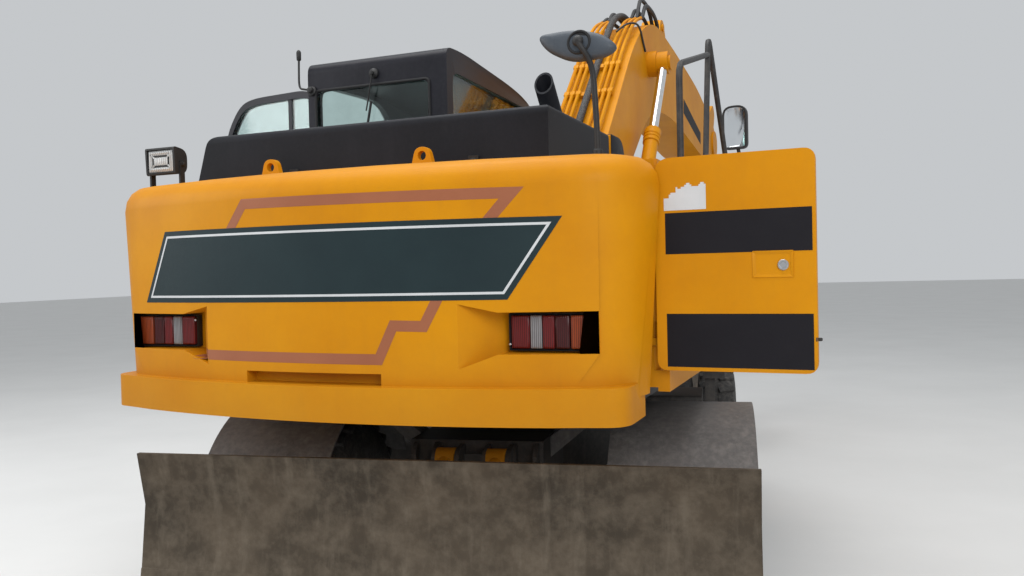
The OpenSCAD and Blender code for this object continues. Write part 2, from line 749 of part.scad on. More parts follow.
// Lamp pocket: flush at its outer edge, ramped and flared at the inner one
module lamp_pocket() {
    outside = -tail_reach - 60;
    depth = lamp_face_y + 40 - outside;
    in_x = lamp_x - lamp_w / 2 - 8;
    z0 = lamp_z - lamp_h / 2 - 6;
    translate([in_x, outside, z0]) cube([lamp_w + 16, depth, lamp_h + 12]);
    hull() {
        translate([in_x - lamp_ramp, outside, lamp_z - 128])
            cube([1, tail_y(in_x - lamp_ramp) - outside, 235]);
        translate([in_x, outside, z0]) cube([1, depth, lamp_h + 12]);
    }
}

module counterweight() {
    corner = 250;
    low_z = skirt_z;
    color(yellow) difference() {
        union() {
            translate([0, 0, deck_bottom]) linear_extrude(bumper_top - deck_bottom)
                polygon(weight_outline(weight_half_w - 25, bumper_out, 90));
            translate([0, 0, low_z]) linear_extrude(weight_top - weight_rim - low_z)
                polygon(weight_outline(weight_half_w, 0, corner));
            loft([
                for (a = [0:22.5:90])
                    let (inset = weight_rim * (1 - cos(a)), z = weight_top - weight_rim * (1 - sin(a)))
                    [for (p = weight_outline(weight_half_w - inset, -inset, corner - inset)) [p[0], p[1], z]]
            ]);
        }
        both_sides() {
            lamp_pocket();
            translate([weight_step_x, weight_side_front, deck_bottom - 10]) cube([400, 800, 1200]);
        }
        // Plate recess above the bumper
        translate([-352, -tail_reach - 20, bumper_top]) cube([613, 95, 45]);
    }
}

module lifting_lugs() {
    color(yellow) for (x = [-660, 140])
        translate([x, lug_y, weight_top + seat_gap]) difference() {
            rotate([90, 0, 0]) linear_extrude(32, center = true) polygon(rounded([
                [-66, 0, 0], [-32, 136, 30], [32, 136, 30], [66, 0, 0]
            ]));
            translate([0, 30, 98]) rotate([90, 0, 0]) cylinder(r = 20, h = 60);
        }
}

module tail_lamps() {
    color("#7a1410") both_sides()
        translate([lamp_x - lamp_w / 2, lamp_face_y, lamp_z - lamp_h / 2]) cube([lamp_w, 40 - seat_gap, lamp_h]);
}

module engine_block() {
    color(grey) translate([-520, weight_front + 140, deck_top + seat_gap]) cube([1000, 560, 760]);
}

// Side bodywork: a shell on each side, open behind its service door
module side_shell(front_y, inner_x) {
    z0 = deck_top + seat_gap;
    skin_x = body_half_w - skin_t;
    door_end = bay_rear + side_door_w + 14;
    difference() {
        union() {
            translate([inner_x, bay_rear, z0]) cube([side_door_hinge[0] - inner_x, front_y - bay_rear, body_top - z0]);
            // Outer skin ahead of the door, and the skirt below it
            translate([skin_x, door_end, skirt_z]) cube([skin_t, front_y - door_end, body_top - skirt_z]);
            translate([skin_x, bay_rear, skirt_z])
                cube([skin_t, door_end - bay_rear, side_door_z0 - panel_gap - skirt_z]);
        }
        translate([weight_step_x + 36, bay_rear + 50, side_door_z0 + 20])
            cube([400, side_door_w - 80, side_door_z1 - side_door_z0 - 40]);
        // Room for the weight's side and for the hinge
        translate([0, bay_rear - 10, 0]) cube([weight_step_x + 6, weight_front - bay_rear + 20, 4000]);
        translate([side_door_hinge[0], side_door_hinge[1], side_door_z0 - panel_gap])
            cylinder(r = 20, h = side_door_z1 - side_door_z0 + 40);
    }
    for (z = side_hinge_z)
        translate([side_door_hinge[0] - 38, side_door_hinge[1] - 12, z - 60]) cube([44, 14, 26]);
    door_pins(side_door_hinge, side_hinge_z);
}

module door_pins(hinge, zs) {
    for (z = zs) translate([hinge[0], hinge[1], z]) {
        translate([0, 0, -34]) cylinder(r = 7, h = 68);
        translate([0, 0, -60]) cylinder(r = 13, h = 26);
    }
}

// Side view of the pump cover beside the boom foot
function pump_cover(z0) = rounded([
    [bulkhead_y, z0, 0], [bulkhead_y, hood_top, 6], [-325, hood_top, 170], [-325, z0, 0]
]);

module side_bodywork() {
    z0 = deck_top + seat_gap;
    color(yellow) {
        difference() {
            side_shell(tank_front, tank_inner_x);
            // Sloped front of the tank cover
            plate([[tank_front - 190, body_top + 1], [tank_front + 1, body_top + 1],
                [tank_front + 1, body_top - 300]], tank_inner_x - 60, 700);
        }
        mirror([1, 0, 0]) side_shell(bulkhead_y + 6, 900);
        hood_bulkhead();
        // Step box ahead of the tank
        plate(rounded([[tank_front - 10, z0, 0], [tank_front - 10, step_box_top, 0], [820, step_box_top, 60],
            [860, step_top, 40], [1200, step_top, 40], [1200, z0, 0]]), 560, body_half_w - 45 - 560);
        plate(pump_cover(z0), 400, hood_right - 400);
        plate(pump_cover(body_top), 250, 160);
    }
}

// Firewall ahead of the hood, with the forks of its two hinges
module hood_bulkhead() {
    z0 = deck_top + seat_gap;
    translate([hood_left + 130, bulkhead_y, z0])
        cube([410 - hood_left - 130, 10, hood_hinge[1] - 15 - z0]);
    for (x = hood_hinge_x) {
        for (s = [-32, 20])
            plate(rounded([[bulkhead_y + 2, hood_hinge[1] - 75, 0], [bulkhead_y + 2, hood_hinge[1] - 15, 0],
                [hood_hinge[0] + 6, hood_hinge[1] + 12, 8], [hood_hinge[0] - 12, hood_hinge[1] + 12, 8],
                [hood_hinge[0] - 12, hood_hinge[1] - 12, 8]]), x + s, 12);
        cross_bar(hood_hinge, 7, x - 30, x + 30);
    }
}

// Engine hood: top, rear and side walls; it lifts about its front edge
module hood_form(inset, z0) {
    front = hood_front + 2 * inset;
    intersection() {
        translate([0, front, 0]) rotate([90, 0, 0]) linear_extrude(front - hood_rear - inset) polygon(rounded([
            [hood_left + inset, z0, 0], [hood_left + hood_lean + inset, hood_top - inset, 60],
            [hood_right - inset, hood_top - inset, 24], [hood_right - inset, z0, 0]
        ]));
        plate(rounded([[hood_rear + inset, z0, 0], [hood_rear + inset, hood_top - inset, 40],
            [front, hood_top - inset, 6], [front, z0, 0]]), hood_left, hood_right - hood_left);
    }
}

module hood() {
    z0 = body_top + panel_gap;
    color(black) {
        difference() {
            hood_form(0, z0);
            hood_form(hood_t, z0 - 20);
        }
        for (x = hood_hinge_x) difference() {
            translate([x - 18, hood_hinge[0] - 12, hood_hinge[1] - 12])
                cube([36, 24, hood_top - hood_t + 3 - hood_hinge[1] + 12]);
            cross_bar(hood_hinge, 7 + pin_gap, x - 40, x + 40);
        }
    }
}

// Exhaust stack on the pump cover, leaning back at its open end
module exhaust() {
    tilt = [24, -8, 0];
    color(black) translate(exhaust_at) difference() {
        union() {
            cylinder(r = 52, h = 170);
            translate([0, 0, 150]) rotate(tilt) cylinder(r = 56, h = 190);
        }
        translate([0, 0, 20]) cylinder(r = 42, h = 140);
        translate([0, 0, 150]) rotate(tilt) cylinder(r = 46, h = 300);
    }
}

// Service door on the right, drawn closed and swung about its rear hinge
module side_door_panel() {
    x0 = side_door_hinge[0] + 3;
    y0 = side_door_hinge[1] + 3;
    difference() {
        plate(rounded([
            [y0, side_door_z0, 40], [y0, side_door_z1, 60], [y0 + side_door_w - 10, side_door_z1, 40],
            [y0 + side_door_w - 10, side_door_z0, 40]
        ]), x0, side_door_t);
        // Folded edge leaves the inside hollow
        plate(rounded([
            [y0 + 40, side_door_z0 + 40, 30], [y0 + 40, side_door_z1 - 40, 30],
            [y0 + side_door_w - 130, side_door_z1 - 40, 30], [y0 + side_door_w - 130, side_door_z0 + 40, 30]
        ]), x0 - 5, side_door_t - 5);
        // Latch recess in the outer face
        translate([x0 + side_door_t - 10, y0 + latch_ahead, latch_z]) cube([20, 135, 90]);
        // Room for the hinge pins and the bosses below them
        for (z = side_hinge_z) translate([side_door_hinge[0], side_door_hinge[1], z - 66])
            cylinder(r = 17, h = 106);
    }
    // Hinge knuckles around the pins
    for (z = side_hinge_z) translate([side_door_hinge[0], side_door_hinge[1], z]) {
        difference() {
            union() {
                translate([0, 0, -33]) cylinder(r = 13, h = 62);
                translate([3, 0, -33]) cube([8, 30, 62]);
            }
            translate([0, 0, -40]) cylinder(r = 7 + pin_gap, h = 80);
        }
    }
}

module service_door_right() {
    color(yellow) on_upper() translate([side_door_hinge[0], side_door_hinge[1], 0])
        rotate([0, 0, -service_door_open]) translate([-side_door_hinge[0], -side_door_hinge[1], 0])
            side_door_panel();
}

module service_door_left() {
    color(yellow) on_upper() mirror([1, 0, 0]) side_door_panel();
}

// Convex mirror on a bent stem, at the rear right corner
module rear_mirror() {
    x = rear_mirror_at[0];
    y = rear_mirror_at[1];
    foot = [x, y, weight_top + seat_gap];
    head = [[-164, 56, 34], [-126, -7, 42], [-19, -65, 51], [105, -59, 34], [144, -45, 25], [163, -20, 25],
        [107, 32, 42], [-12, 65, 67]];
    color(black) {
        tube(smooth_path([foot + [0, 0, 4], [x - 9, y, 2480], [x - 19, y + 5, 2570], [x - 57, y + 15, 2656]], 60), 12,
            side = [0, 1, 0]);
        translate(foot) cylinder(r = 30, h = 12);
        translate([x - 76, y + 5, 2652]) rotate([84, 0, 0]) {
            linear_extrude(34) polygon(rounded(head));
            translate([0, 0, -16]) linear_extrude(20) offset(delta = -16) polygon(rounded(head));
        }
    }
}

module rail_foot(y, z) {
    translate([rail_x, y, z + seat_gap]) cylinder(r = 30, h = 12);
}

// Post with its top rail, and the grab rail over the tank steps
module handrails() {
    rail_r = 16;
    foot = seat_gap + 6;
    color(black) {
        tube(smooth_path([[rail_x, -1003, body_top + foot], [rail_x, -1000, 2748], [rail_x, -160, 2975]], 70, 3), rail_r);
        tube(smooth_path([
            [rail_x, -320, body_top + foot], [rail_x, -121, 3093], [rail_x, 485, 2466],
            [rail_x, 618, 2320], [rail_x, 620, step_box_top + foot]
        ], 70, 3), rail_r);
        rail_foot(-1003, body_top);
        rail_foot(-320, body_top);
        rail_foot(620, step_box_top);
    }
}

module front_mirror() {
    stem_x = body_half_w - 95;
    color(black) {
        tube(smooth_path([
            [stem_x, 1080, step_top + seat_gap], [stem_x, 1080, 2500], [front_mirror_at[0] + 10, 1068, 2640]
        ], 60), 13);
        translate(front_mirror_at) rotate([0, 0, -8]) rotate([90, 0, 0]) linear_extrude(46, center = true)
            polygon(rounded([[-85, -150, 40], [-85, 150, 70], [85, 150, 70], [85, -150, 40]]));
    }
}

module work_lamp() {
    head = [[-40, 56, 14], [-46, 184, 14], [38, 172, 40], [38, 68, 40]];
    color(black) translate([212 - body_half_w, weight_side_front - 45, weight_top + seat_gap]) {
        translate([-90, -30, 0]) cube([180, 60, 8]);
        for (x = [-90, 80]) translate([x, -14, 0]) cube([10, 28, 120]);
        difference() {
            plate(rounded(head), -84, 168);
            translate([-74, -62, 68]) cube([148, 24, 104]);
        }
    }
}

// Cab
module cab_side(inset = 0) {
    i = inset;
    polygon(rounded([
        [cab_rear + i, cab_floor_z + i, 30], [cab_rear + i, cab_top - 12 - i, 70], [-330, cab_top - i, 200],
        [500, cab_top - 62 - i, 300], [810, cab_top - 122 - i, 200], [1100 - i, 2800 - i / 2, 200],
        [cab_front - i, 2250, 200], [cab_front - i, cab_floor_z + i, 60]
    ]));
}

module window_cut(y0, y1, z0, z1, slope = 0) {
    polygon(rounded([[y0, z0, 50], [y0, z1, 70], [y1 - slope, z1, 70], [y1, z0, 50]]));
}

// Rear window between the left pillar and the wide right one
module rear_window() {
    window_cut(cab_left + 58, cab_right - 113, cab_sill_z, 2925);
}

module right_window() {
    window_cut(cab_rear + 80, 1110, 2000, 2893, 130);
}

module quarter_light() {
    window_cut(cab_door_rear + cab_door_w + 60, 1130, 1560, 2730, 120);
}

module windscreen() {
    window_cut(cab_left + 60, cab_right - 60, 1500, 2770);
}

// Door outline by distance ahead of the hinge side: its front top corner is cut back
module door_outline() {
    y = cab_door_rear;
    front = y + cab_door_w - panel_gap;
    polygon(rounded([
        [y + panel_gap, cab_door_z0, 50], [y + panel_gap, cab_door_z1 - 50, 70], [y + 126, cab_door_z1 - 17, 60],
        [y + 645, cab_door_z1, 150], [y + 785, cab_door_z1 - 38, 100], [front, cab_door_z1 - 230, 120],
        [front, cab_door_z0, 50]
    ]));
}

// Outline of forward and up, cut through a side wall that starts at x
module side_cut(x, depth) {
    translate([x, 0, 0]) rotate([90, 0, 90]) linear_extrude(depth) children();
}

// Outline of width and up, standing across the cab from y forwards
module end_cut(y, depth) {
    translate([0, y, 0]) rotate([90, 0, 0]) mirror([0, 0, 1]) linear_extrude(depth) children();
}

module cab_shell() {
    w = cab_right - cab_left;
    color(grey) {
        difference() {
            side_cut(cab_left, w) cab_side();
            side_cut(cab_left + cab_wall, w - 2 * cab_wall) cab_side(cab_wall);
            end_cut(cab_rear - 10, cab_wall + 40) rear_window();
            end_cut(900, 400) windscreen();
            side_cut(cab_right - cab_wall - 10, cab_wall + 20) right_window();
            side_cut(cab_left - 10, cab_wall + 20) {
                offset(delta = panel_gap) door_outline();
                quarter_light();
            }
        }
        door_pins(cab_hinge, cab_hinge_z);
        for (z = cab_hinge_z)
            translate([cab_hinge[0] - 8, cab_hinge[1] - 20, z - 60]) cube([26, 18, 26]);
    }
}

module cab_windows() {
    glass_t = 5;
    color("#9fb8b0", 0.4) {
        end_cut(cab_rear + 13, glass_t) offset(delta = -seat_gap) rear_window();
        side_cut(cab_right - 24, glass_t) offset(delta = -seat_gap) right_window();
        side_cut(cab_left + 20, glass_t) offset(delta = -seat_gap) quarter_light();
        intersection() {
            end_cut(900, 400) offset(delta = -seat_gap) windscreen();
            side_cut(cab_left, cab_right - cab_left) difference() {
                cab_side(20);
                cab_side(26);
            }
        }
    }
}

module on_cab_door() {
    on_upper() translate([cab_hinge[0], cab_hinge[1], 0]) rotate([0, 0, cab_door_open])
        translate([-cab_hinge[0], -cab_hinge[1], 0]) children();
}

// Glass of the cab door, above its lower panel
module door_glass_outline() {
    intersection() {
        offset(delta = -45) door_outline();
        translate([-1000, 2020]) square([2000, 2000]);
    }
}

module cab_door() {
    bar_y = cab_hinge[1] + 247;
    color(grey) on_cab_door() {
        difference() {
            side_cut(cab_left, cab_wall) door_outline();
            side_cut(cab_left - 10, cab_wall + 20) door_glass_outline();
            translate([cab_left + 12, cab_door_rear + 70, 1480]) cube([100, cab_door_w - 140, 460]);
        }
        for (z = cab_hinge_z) translate([cab_hinge[0], cab_hinge[1], z]) difference() {
            union() {
                translate([0, 0, -33]) cylinder(r = 13, h = 62);
                translate([0, 6, -33]) cube([16, 30, 62]);
            }
            translate([0, 0, -40]) cylinder(r = 7 + pin_gap, h = 80);
        }
        // Bar between the two panes
        translate([cab_left + 8, bar_y, 2015]) cube([28, 34, 925]);
    }
}

module cab_door_window() {
    bar_y = cab_hinge[1] + 247;
    color("#9fb8b0", 0.4) on_cab_door() difference() {
        side_cut(cab_left + 14, 5) offset(delta = -seat_gap) door_glass_outline();
        translate([cab_left, bar_y - seat_gap, 1900]) cube([60, 34 + 2 * seat_gap, 1100]);
    }
}

module seat() {
    x = (cab_left + cab_right) / 2;
    color("#303236") {
        translate([x - 200, -180, cab_floor_z + cab_wall + seat_gap]) cube([400, 420, 300]);
        plate(rounded([[-220, 1686, 40], [-220, 1830, 60], [300, 1850, 80], [320, 1690, 60]]), x - 250, 500);
        plate(rounded([[-215, 1790, 0], [-360, 2560, 60], [-260, 2600, 60], [-110, 1790, 0]]), x - 240, 480);
        plate(rounded([[-345, 2540, 0], [-370, 2760, 50], [-290, 2770, 50], [-275, 2540, 0]]), x - 130, 260);
    }
}

module cab_controls() {
    x = (cab_left + cab_right) / 2;
    z0 = cab_floor_z + cab_wall + seat_gap;
    color(black) {
        for (s = [-1, 1]) translate([x + s * 335 - 55, -200, z0]) {
            cube([110, 640, 560]);
            translate([55, 540, 555]) cylinder(r1 = 26, r2 = 18, h = 210);
        }
        plate(rounded([[620, z0, 0], [560, 2120, 40], [650, 2150, 40], [800, z0, 0]]), x - 60, 120);
        translate([x, 600, 2150]) rotate([-25, 0, 0]) difference() {
            cylinder(r = 190, h = 26);
            translate([0, 0, -5]) cylinder(r = 160, h = 40);
        }
        translate([x - 180, 600, 2138]) rotate([-25, 0, 0]) cube([360, 40, 20]);
    }
}

// Boom
tip = dipper_pin;
function boom_points() = rounded([
        [-90, boom_foot[1] + 100, 60], [lift_eye[0] - 410, lift_eye[1] + 160, 420],
        [boom_bend[0], boom_bend[1], 300], [boom_front[0], boom_front[1], 600],
        [tip[0] - 1030, tip[1] + 460, 300], [tip[0] + 80, tip[1] + 200, 90], [tip[0] + 140, tip[1] - 50, 80],
        [tip[0], tip[1] - 190, 90], [tip[0] - 800, tip[1] - 240, 300],
        [lift_eye[0] + 900, lift_eye[1] - 290, 600], [lift_eye[0] + 20, lift_eye[1] - 360, 380],
        [boom_foot[0] + 140, boom_foot[1] - 110, 70]
    ], 6);

module boom() {
    foot = dipper_ram_foot;
    color(yellow) on_arm() difference() {
        union() {
            plate(boom_points(), -boom_half_w, 2 * boom_half_w);
            cross_bar(boom_foot, 140, -bracket_in + seat_gap, bracket_in - seat_gap);
            cross_bar(lift_eye, 105, -lift_off + 45 + seat_gap, lift_off - 45 - seat_gap);
            cross_bar(dipper_pin, 150, -boom_half_w - 20, boom_half_w + 20);
            // Foot of the dipper ram
            both_sides() plate(rounded([[foot[0] - 200, foot[1] - 260, 0], [foot[0] - 70, foot[1] + 60, 50],
                [foot[0] + 50, foot[1] + 80, 50], [foot[0] + 270, foot[1] - 260, 0]]), 62, 28);
            cross_bar(foot, 34, -104, 104);
        }
        cross_bar(boom_foot, 45 + pin_gap, -300, 300);
        translate([-130, dipper_pin[0] - 550, dipper_pin[1] - 730]) cube([260, 1000, 1600]);
    }
    color(yellow) on_arm() cross_bar(dipper_pin, 50, -170, 170);
}

module boom_pipes() {
    d = pipe_off * sqrt(0.5);
    foot_z = boom_foot[1] + 190;
    color(yellow) on_arm() {
        for (row = boom_pipe_rows)
            tube(smooth_path([
                [row[0], 320 - d, foot_z + 320 + d], [row[0], 1500 - d, foot_z + 1500 + d],
                [row[0], pipe_end[0] - 240 * pipe_dir[0], pipe_end[1] - 240 * pipe_dir[1]],
                [row[0], pipe_end[0], pipe_end[1]]
            ], 160), pipe_r);
    }
    // Clamps across the pipes
    color(black) on_arm() for (y = [500, 1050, 1300])
        translate([-boom_half_w, y, y + foot_z + seat_gap]) rotate([45, 0, 0]) cube([boom_half_w + 155, 46, 30]);
}

// Hose loops over the bend, down to a block on the boom's back
module boom_hoses() {
    start = pipe_end + 0.4 * pipe_dir;
    lead = start + 70 * pipe_dir;
    end_y = hose_block[0] + 40;
    color(black) on_arm() {
        for (row = boom_pipe_rows) {
            x = row[0];
            top = boom_bend[1] + row[1];
            tube(smooth_path([
                [x, start[0], start[1]], [x, lead[0], lead[1]], [x, 2230, top], [x, 2540, top],
                [x, end_y, boom_bend[1] + 90], [x, end_y, hose_block[1] + 40]
            ], 110, 3), hose_r);
        }
        translate([-boom_half_w + 5, hose_block[0], hose_block[1] + seat_gap]) rotate([-atan(boom_fall), 0, 0])
            cube([boom_half_w + 155, 90, 56]);
    }
}

module lift_barrels() {
    color(yellow) on_arm() both_sides()
        ram_barrel(lift_foot, lift_ang, lift_barrel_l, lift_barrel_r, lift_rod_r, lift_off, 40, 34, 700,
            start = 62, eye_r = 80);
}

module lift_rods() {
    color(steel) on_arm() both_sides() {
        ram_rod(lift_foot, lift_ang, lift_len, 1300, lift_rod_r, 92, 45, lift_off);
        cross_bar(lift_eye, 60, lift_off + 44, lift_off + 64);
    }
}

// Dipper, in its own frame
module dipper_outline() {
    polygon(rounded([
        [-740, 250, 60], [-700, 400, 70], [-540, 400, 80], [-100, 330, 100], [560, 330, 120], [1700, 165, 100],
        [2200, 95, 80], [2490, 60, 70], [2490, -70, 70], [2200, -115, 80], [600, -235, 200], [60, -260, 160],
        [-220, -150, 120]
    ]));
}

module dipper() {
    color(yellow) on_dipper() difference() {
        union() {
            translate([-dipper_half_w, 0, 0]) rotate([90, 0, 90]) linear_extrude(2 * dipper_half_w)
                difference() {
                    dipper_outline();
                    translate([1860, -300]) square([800, 700]);
                }
            translate([-nose_half_w, 0, 0]) rotate([90, 0, 90]) linear_extrude(2 * nose_half_w)
                intersection() {
                    dipper_outline();
                    translate([1850, -300]) square([800, 700]);
                }
            // Lugs of the bucket ram
            both_sides() plate(rounded([[330, 300, 0], [430, 500, 50], [570, 500, 50], [680, 280, 0]]), 54, 26);
            cross_bar(bucket_ram_foot, 28, -92, 92);
            cross_bar(lever_pin, 40, -nose_half_w - 62, nose_half_w + 62);
        }
        cross_bar([0, 0], 50 + pin_gap, -300, 300);
        cross_bar(bucket_pin, 34 + pin_gap, -300, 300);
        // Fork for the dipper ram's eye
        translate([-64, -900, 0]) cube([128, 560, 600]);
    }
}

module dipper_barrel() {
    color(yellow) on_arm()
        ram_barrel(dipper_ram_foot, dipper_ram_ang, dipper_barrel_l, dipper_barrel_r, dipper_rod_r, 0, 61, 34, 180);
}

module dipper_rod() {
    color(steel) on_arm()
        ram_rod(dipper_ram_foot, dipper_ram_ang, dipper_ram_len, 1360, dipper_rod_r, 78, 58, 0);
}

// Side profile of the bucket, round from its mouth
module bucket_profile() {
    polygon(rounded([
        [470, -120, 30], [640, -300, 120], [700, -620, 220], [560, -960, 220], [210, -1160, 160],
        [-130, -1262, 0], [-80, -210, 60], [60, -165, 60]
    ], 6));
}

module bucket() {
    half = bucket_w / 2;
    color("#4c4a46") on_bucket() difference() {
        union() {
            translate([-half, 0, 0]) rotate([90, 0, 90]) linear_extrude(bucket_w) bucket_profile();
            both_sides() {
                plate(rounded([[-85, -60, 50], [-60, 80, 60], [380, 86, 60], [470, 20, 60], [560, -230, 0],
                    [-40, -230, 0]]), nose_half_w + 6, 34);
            }
            for (k = [0:bucket_teeth - 1])
                translate([-half + 50 + k * (bucket_w - 100) / (bucket_teeth - 1), 0, 0])
                    plate([[-20, -1180], [60, -1216], [-30, -1296], [-205, -1330], [-130, -1262]], -34, 68);
            cross_bar([0, 0], 34, -nose_half_w - 62, nose_half_w + 62);
            cross_bar([bucket_pin_l, 0], 34, -nose_half_w - 62, nose_half_w + 62);
        }
        translate([-half + 24, 0, 0]) rotate([90, 0, 90]) linear_extrude(bucket_w - 48) polygon(rounded([
            [440, -150, 30], [610, -310, 110], [668, -620, 200], [535, -935, 200], [195, -1130, 150],
            [-200, -1240, 0], [-200, -238, 0], [60, -195, 60]
        ], 6));
    }
}

module bucket_lever() {
    color(yellow) on_dipper() difference() {
        union() both_sides() {
            hull() {
                cross_bar(lever_pin, 70, nose_half_w + 24, nose_half_w + 48);
                cross_bar(lever_end, 56, nose_half_w + 24, nose_half_w + 48);
            }
            cross_bar(lever_pin, 62, nose_half_w + 4, nose_half_w + 50);
            cross_bar(lever_end, 44, nose_half_w + 48, nose_half_w + 62);
        }
        cross_bar(lever_pin, 40 + pin_gap, -300, 300);
    }
}

module bucket_link() {
    color(yellow) on_dipper() difference() {
        union() {
            both_sides() hull() {
                cross_bar(link_pin, 62, 60, nose_half_w - 5);
                cross_bar(lever_end, 58, 60, nose_half_w - 5);
            }
            cross_bar(link_pin, 64, -nose_half_w + seat_gap - 5, nose_half_w - seat_gap + 5);
        }
        cross_bar(link_pin, 34 + pin_gap, -300, 300);
    }
}

module bucket_barrel() {
    color(yellow) on_dipper()
        ram_barrel(bucket_ram_foot, bucket_ram_ang, bucket_barrel_l, bucket_barrel_r, bucket_rod_r, 0, 52, 28, 120);
}

module bucket_rod() {
    color(steel) on_dipper()
        ram_rod(bucket_ram_foot, bucket_ram_ang, bucket_ram_len, 780, bucket_rod_r, 62, 42, 0);
}

chassis();
transmission();
rear_axle();
front_axle();
rear_mudguards();
side_boxes();
color(grey) mirror([1, 0, 0]) knuckle();  // knuckle_left
color(grey) knuckle();  // knuckle_right
steering_rod();
color(black) mirror([1, 0, 0]) tyre_pair(front_axle_ahead);  // tyres_front_left
color(black) tyre_pair(front_axle_ahead);  // tyres_front_right
color(black) mirror([1, 0, 0]) tyre_pair(-rear_axle_back);  // tyres_rear_left
color(black) tyre_pair(-rear_axle_back);  // tyres_rear_right
color(yellow) mirror([1, 0, 0]) rim_pair(front_axle_ahead);  // rims_front_left
color(yellow) rim_pair(front_axle_ahead);  // rims_front_right
color(yellow) mirror([1, 0, 0]) rim_pair(-rear_axle_back);  // rims_rear_left
color(yellow) rim_pair(-rear_axle_back);  // rims_rear_right
blade();
blade_lower_arms();
blade_upper_links();
blade_barrels();
blade_rods();
on_upper() upper_frame();
on_upper() counterweight();
on_upper() lifting_lugs();
on_upper() tail_lamps();
on_upper() engine_block();
on_upper() side_bodywork();
on_upper() hood();
on_upper() exhaust();
service_door_right();
service_door_left();
on_upper() rear_mirror();
on_upper() handrails();
on_upper() front_mirror();
on_upper() work_lamp();
on_upper() cab_shell();
on_upper() cab_windows();
cab_door();
cab_door_window();
on_upper() seat();
on_upper() cab_controls();
boom();
boom_pipes();
boom_hoses();
lift_barrels();
lift_rods();
dipper();
dipper_barrel();
dipper_rod();
bucket();
bucket_lever();
bucket_link();
bucket_barrel();
bucket_rod();
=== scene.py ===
import bpy, bmesh, json, math
from mathutils import Euler, Matrix, Vector

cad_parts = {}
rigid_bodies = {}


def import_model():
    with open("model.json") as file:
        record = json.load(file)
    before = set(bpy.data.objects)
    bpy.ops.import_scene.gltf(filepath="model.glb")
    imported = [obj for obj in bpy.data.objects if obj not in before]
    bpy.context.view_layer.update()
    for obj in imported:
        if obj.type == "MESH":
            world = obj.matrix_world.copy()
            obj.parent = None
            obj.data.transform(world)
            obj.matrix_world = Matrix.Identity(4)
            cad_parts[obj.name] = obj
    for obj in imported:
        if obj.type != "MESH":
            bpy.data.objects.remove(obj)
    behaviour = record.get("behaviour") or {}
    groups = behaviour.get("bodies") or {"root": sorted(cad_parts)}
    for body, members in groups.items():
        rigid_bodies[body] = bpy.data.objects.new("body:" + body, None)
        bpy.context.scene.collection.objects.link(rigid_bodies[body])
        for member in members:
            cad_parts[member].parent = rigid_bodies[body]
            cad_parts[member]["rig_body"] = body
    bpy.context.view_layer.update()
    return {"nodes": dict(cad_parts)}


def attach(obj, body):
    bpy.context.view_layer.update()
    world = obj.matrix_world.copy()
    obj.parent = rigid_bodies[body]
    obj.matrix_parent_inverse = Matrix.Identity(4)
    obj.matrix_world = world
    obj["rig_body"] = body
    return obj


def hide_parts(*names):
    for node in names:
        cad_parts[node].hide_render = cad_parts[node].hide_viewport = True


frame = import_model()
nodes = frame["nodes"]
turn = math.radians(-9.0)  # the upper structure stands 9 degrees to the right

# The camera stands behind the machine, a little to the right
view = {"place": (1.089, -5.387, 1.792), "left": 12.833, "down": -1.143, "roll": -1.345, "lens": 30.76}
aim = (Matrix.Rotation(math.radians(view["left"]), 4, "Z")
       @ Matrix.Rotation(math.radians(90 + view["down"]), 4, "X")
       @ Matrix.Rotation(math.radians(view["roll"]), 4, "Z")).to_euler()
bpy.ops.object.camera_add(location=view["place"], rotation=aim)
camera = bpy.context.object
camera.name = "rearCamera"
camera.data.lens = view["lens"]
camera.data.sensor_width = 36.0
camera.data.clip_end = 200.0
bpy.context.scene.camera = camera
bpy.context.scene.view_settings.view_transform = "Standard"
print("stage: camera")


# Materials
def fill(tree, node, values):
    # each value is a number, a colour or another node's outlet
    for name, value in values.items():
        socket = node.inputs[name]
        if isinstance(value, (int, float)):
            socket.default_value = value
        elif isinstance(value, tuple):
            socket.default_value = (*value, 1)[:len(socket.default_value)]
        else:
            tree.links.new(value, socket)
    return node


def added(tree, kind, values):
    return fill(tree, tree.nodes.new("ShaderNode" + kind), values)


def rampOf(tree, source, stops):
    # each stop has its place and a colour or a grey
    ramp = added(tree, "ValToRGB", {"Fac": source})
    for point, (at, colour) in zip(ramp.color_ramp.elements, stops):
        point.position = at
        point.color = (*colour, 1) if isinstance(colour, tuple) else (colour, colour, colour, 1)
    return ramp.outputs["Color"]


def noiseOf(tree, place, scale, detail=6.0, rough=0.6, squash=(1, 1, 1)):
    stretch = added(tree, "Mapping", {"Scale": squash, "Vector": place})
    noise = added(tree, "TexNoise", {"Scale": scale, "Detail": detail, "Roughness": rough,
                                     "Vector": stretch.outputs["Vector"]})
    return noise.outputs["Fac"]


def mixOf(tree, amount, under, over):
    mix = added(tree, "Mix", {})
    mix.data_type = "RGBA"
    return fill(tree, mix, {0: amount, 6: under, 7: over}).outputs[2]


def mathOf(tree, how, one, two):
    node = added(tree, "Math", {0: one, 1: two})
    node.operation, node.use_clamp = how, True
    return node.outputs[0]


def bumpOf(tree, height, strength, distance):
    bump = added(tree, "Bump", {"Strength": strength, "Distance": distance, "Height": height})
    return bump.outputs["Normal"]


def newMaterial(name):
    material = bpy.data.materials.new(name)
    material.use_nodes = True
    tree = material.node_tree
    place = tree.nodes.new("ShaderNodeTexCoord").outputs["Object"]
    return tree, tree.nodes["Principled BSDF"], place


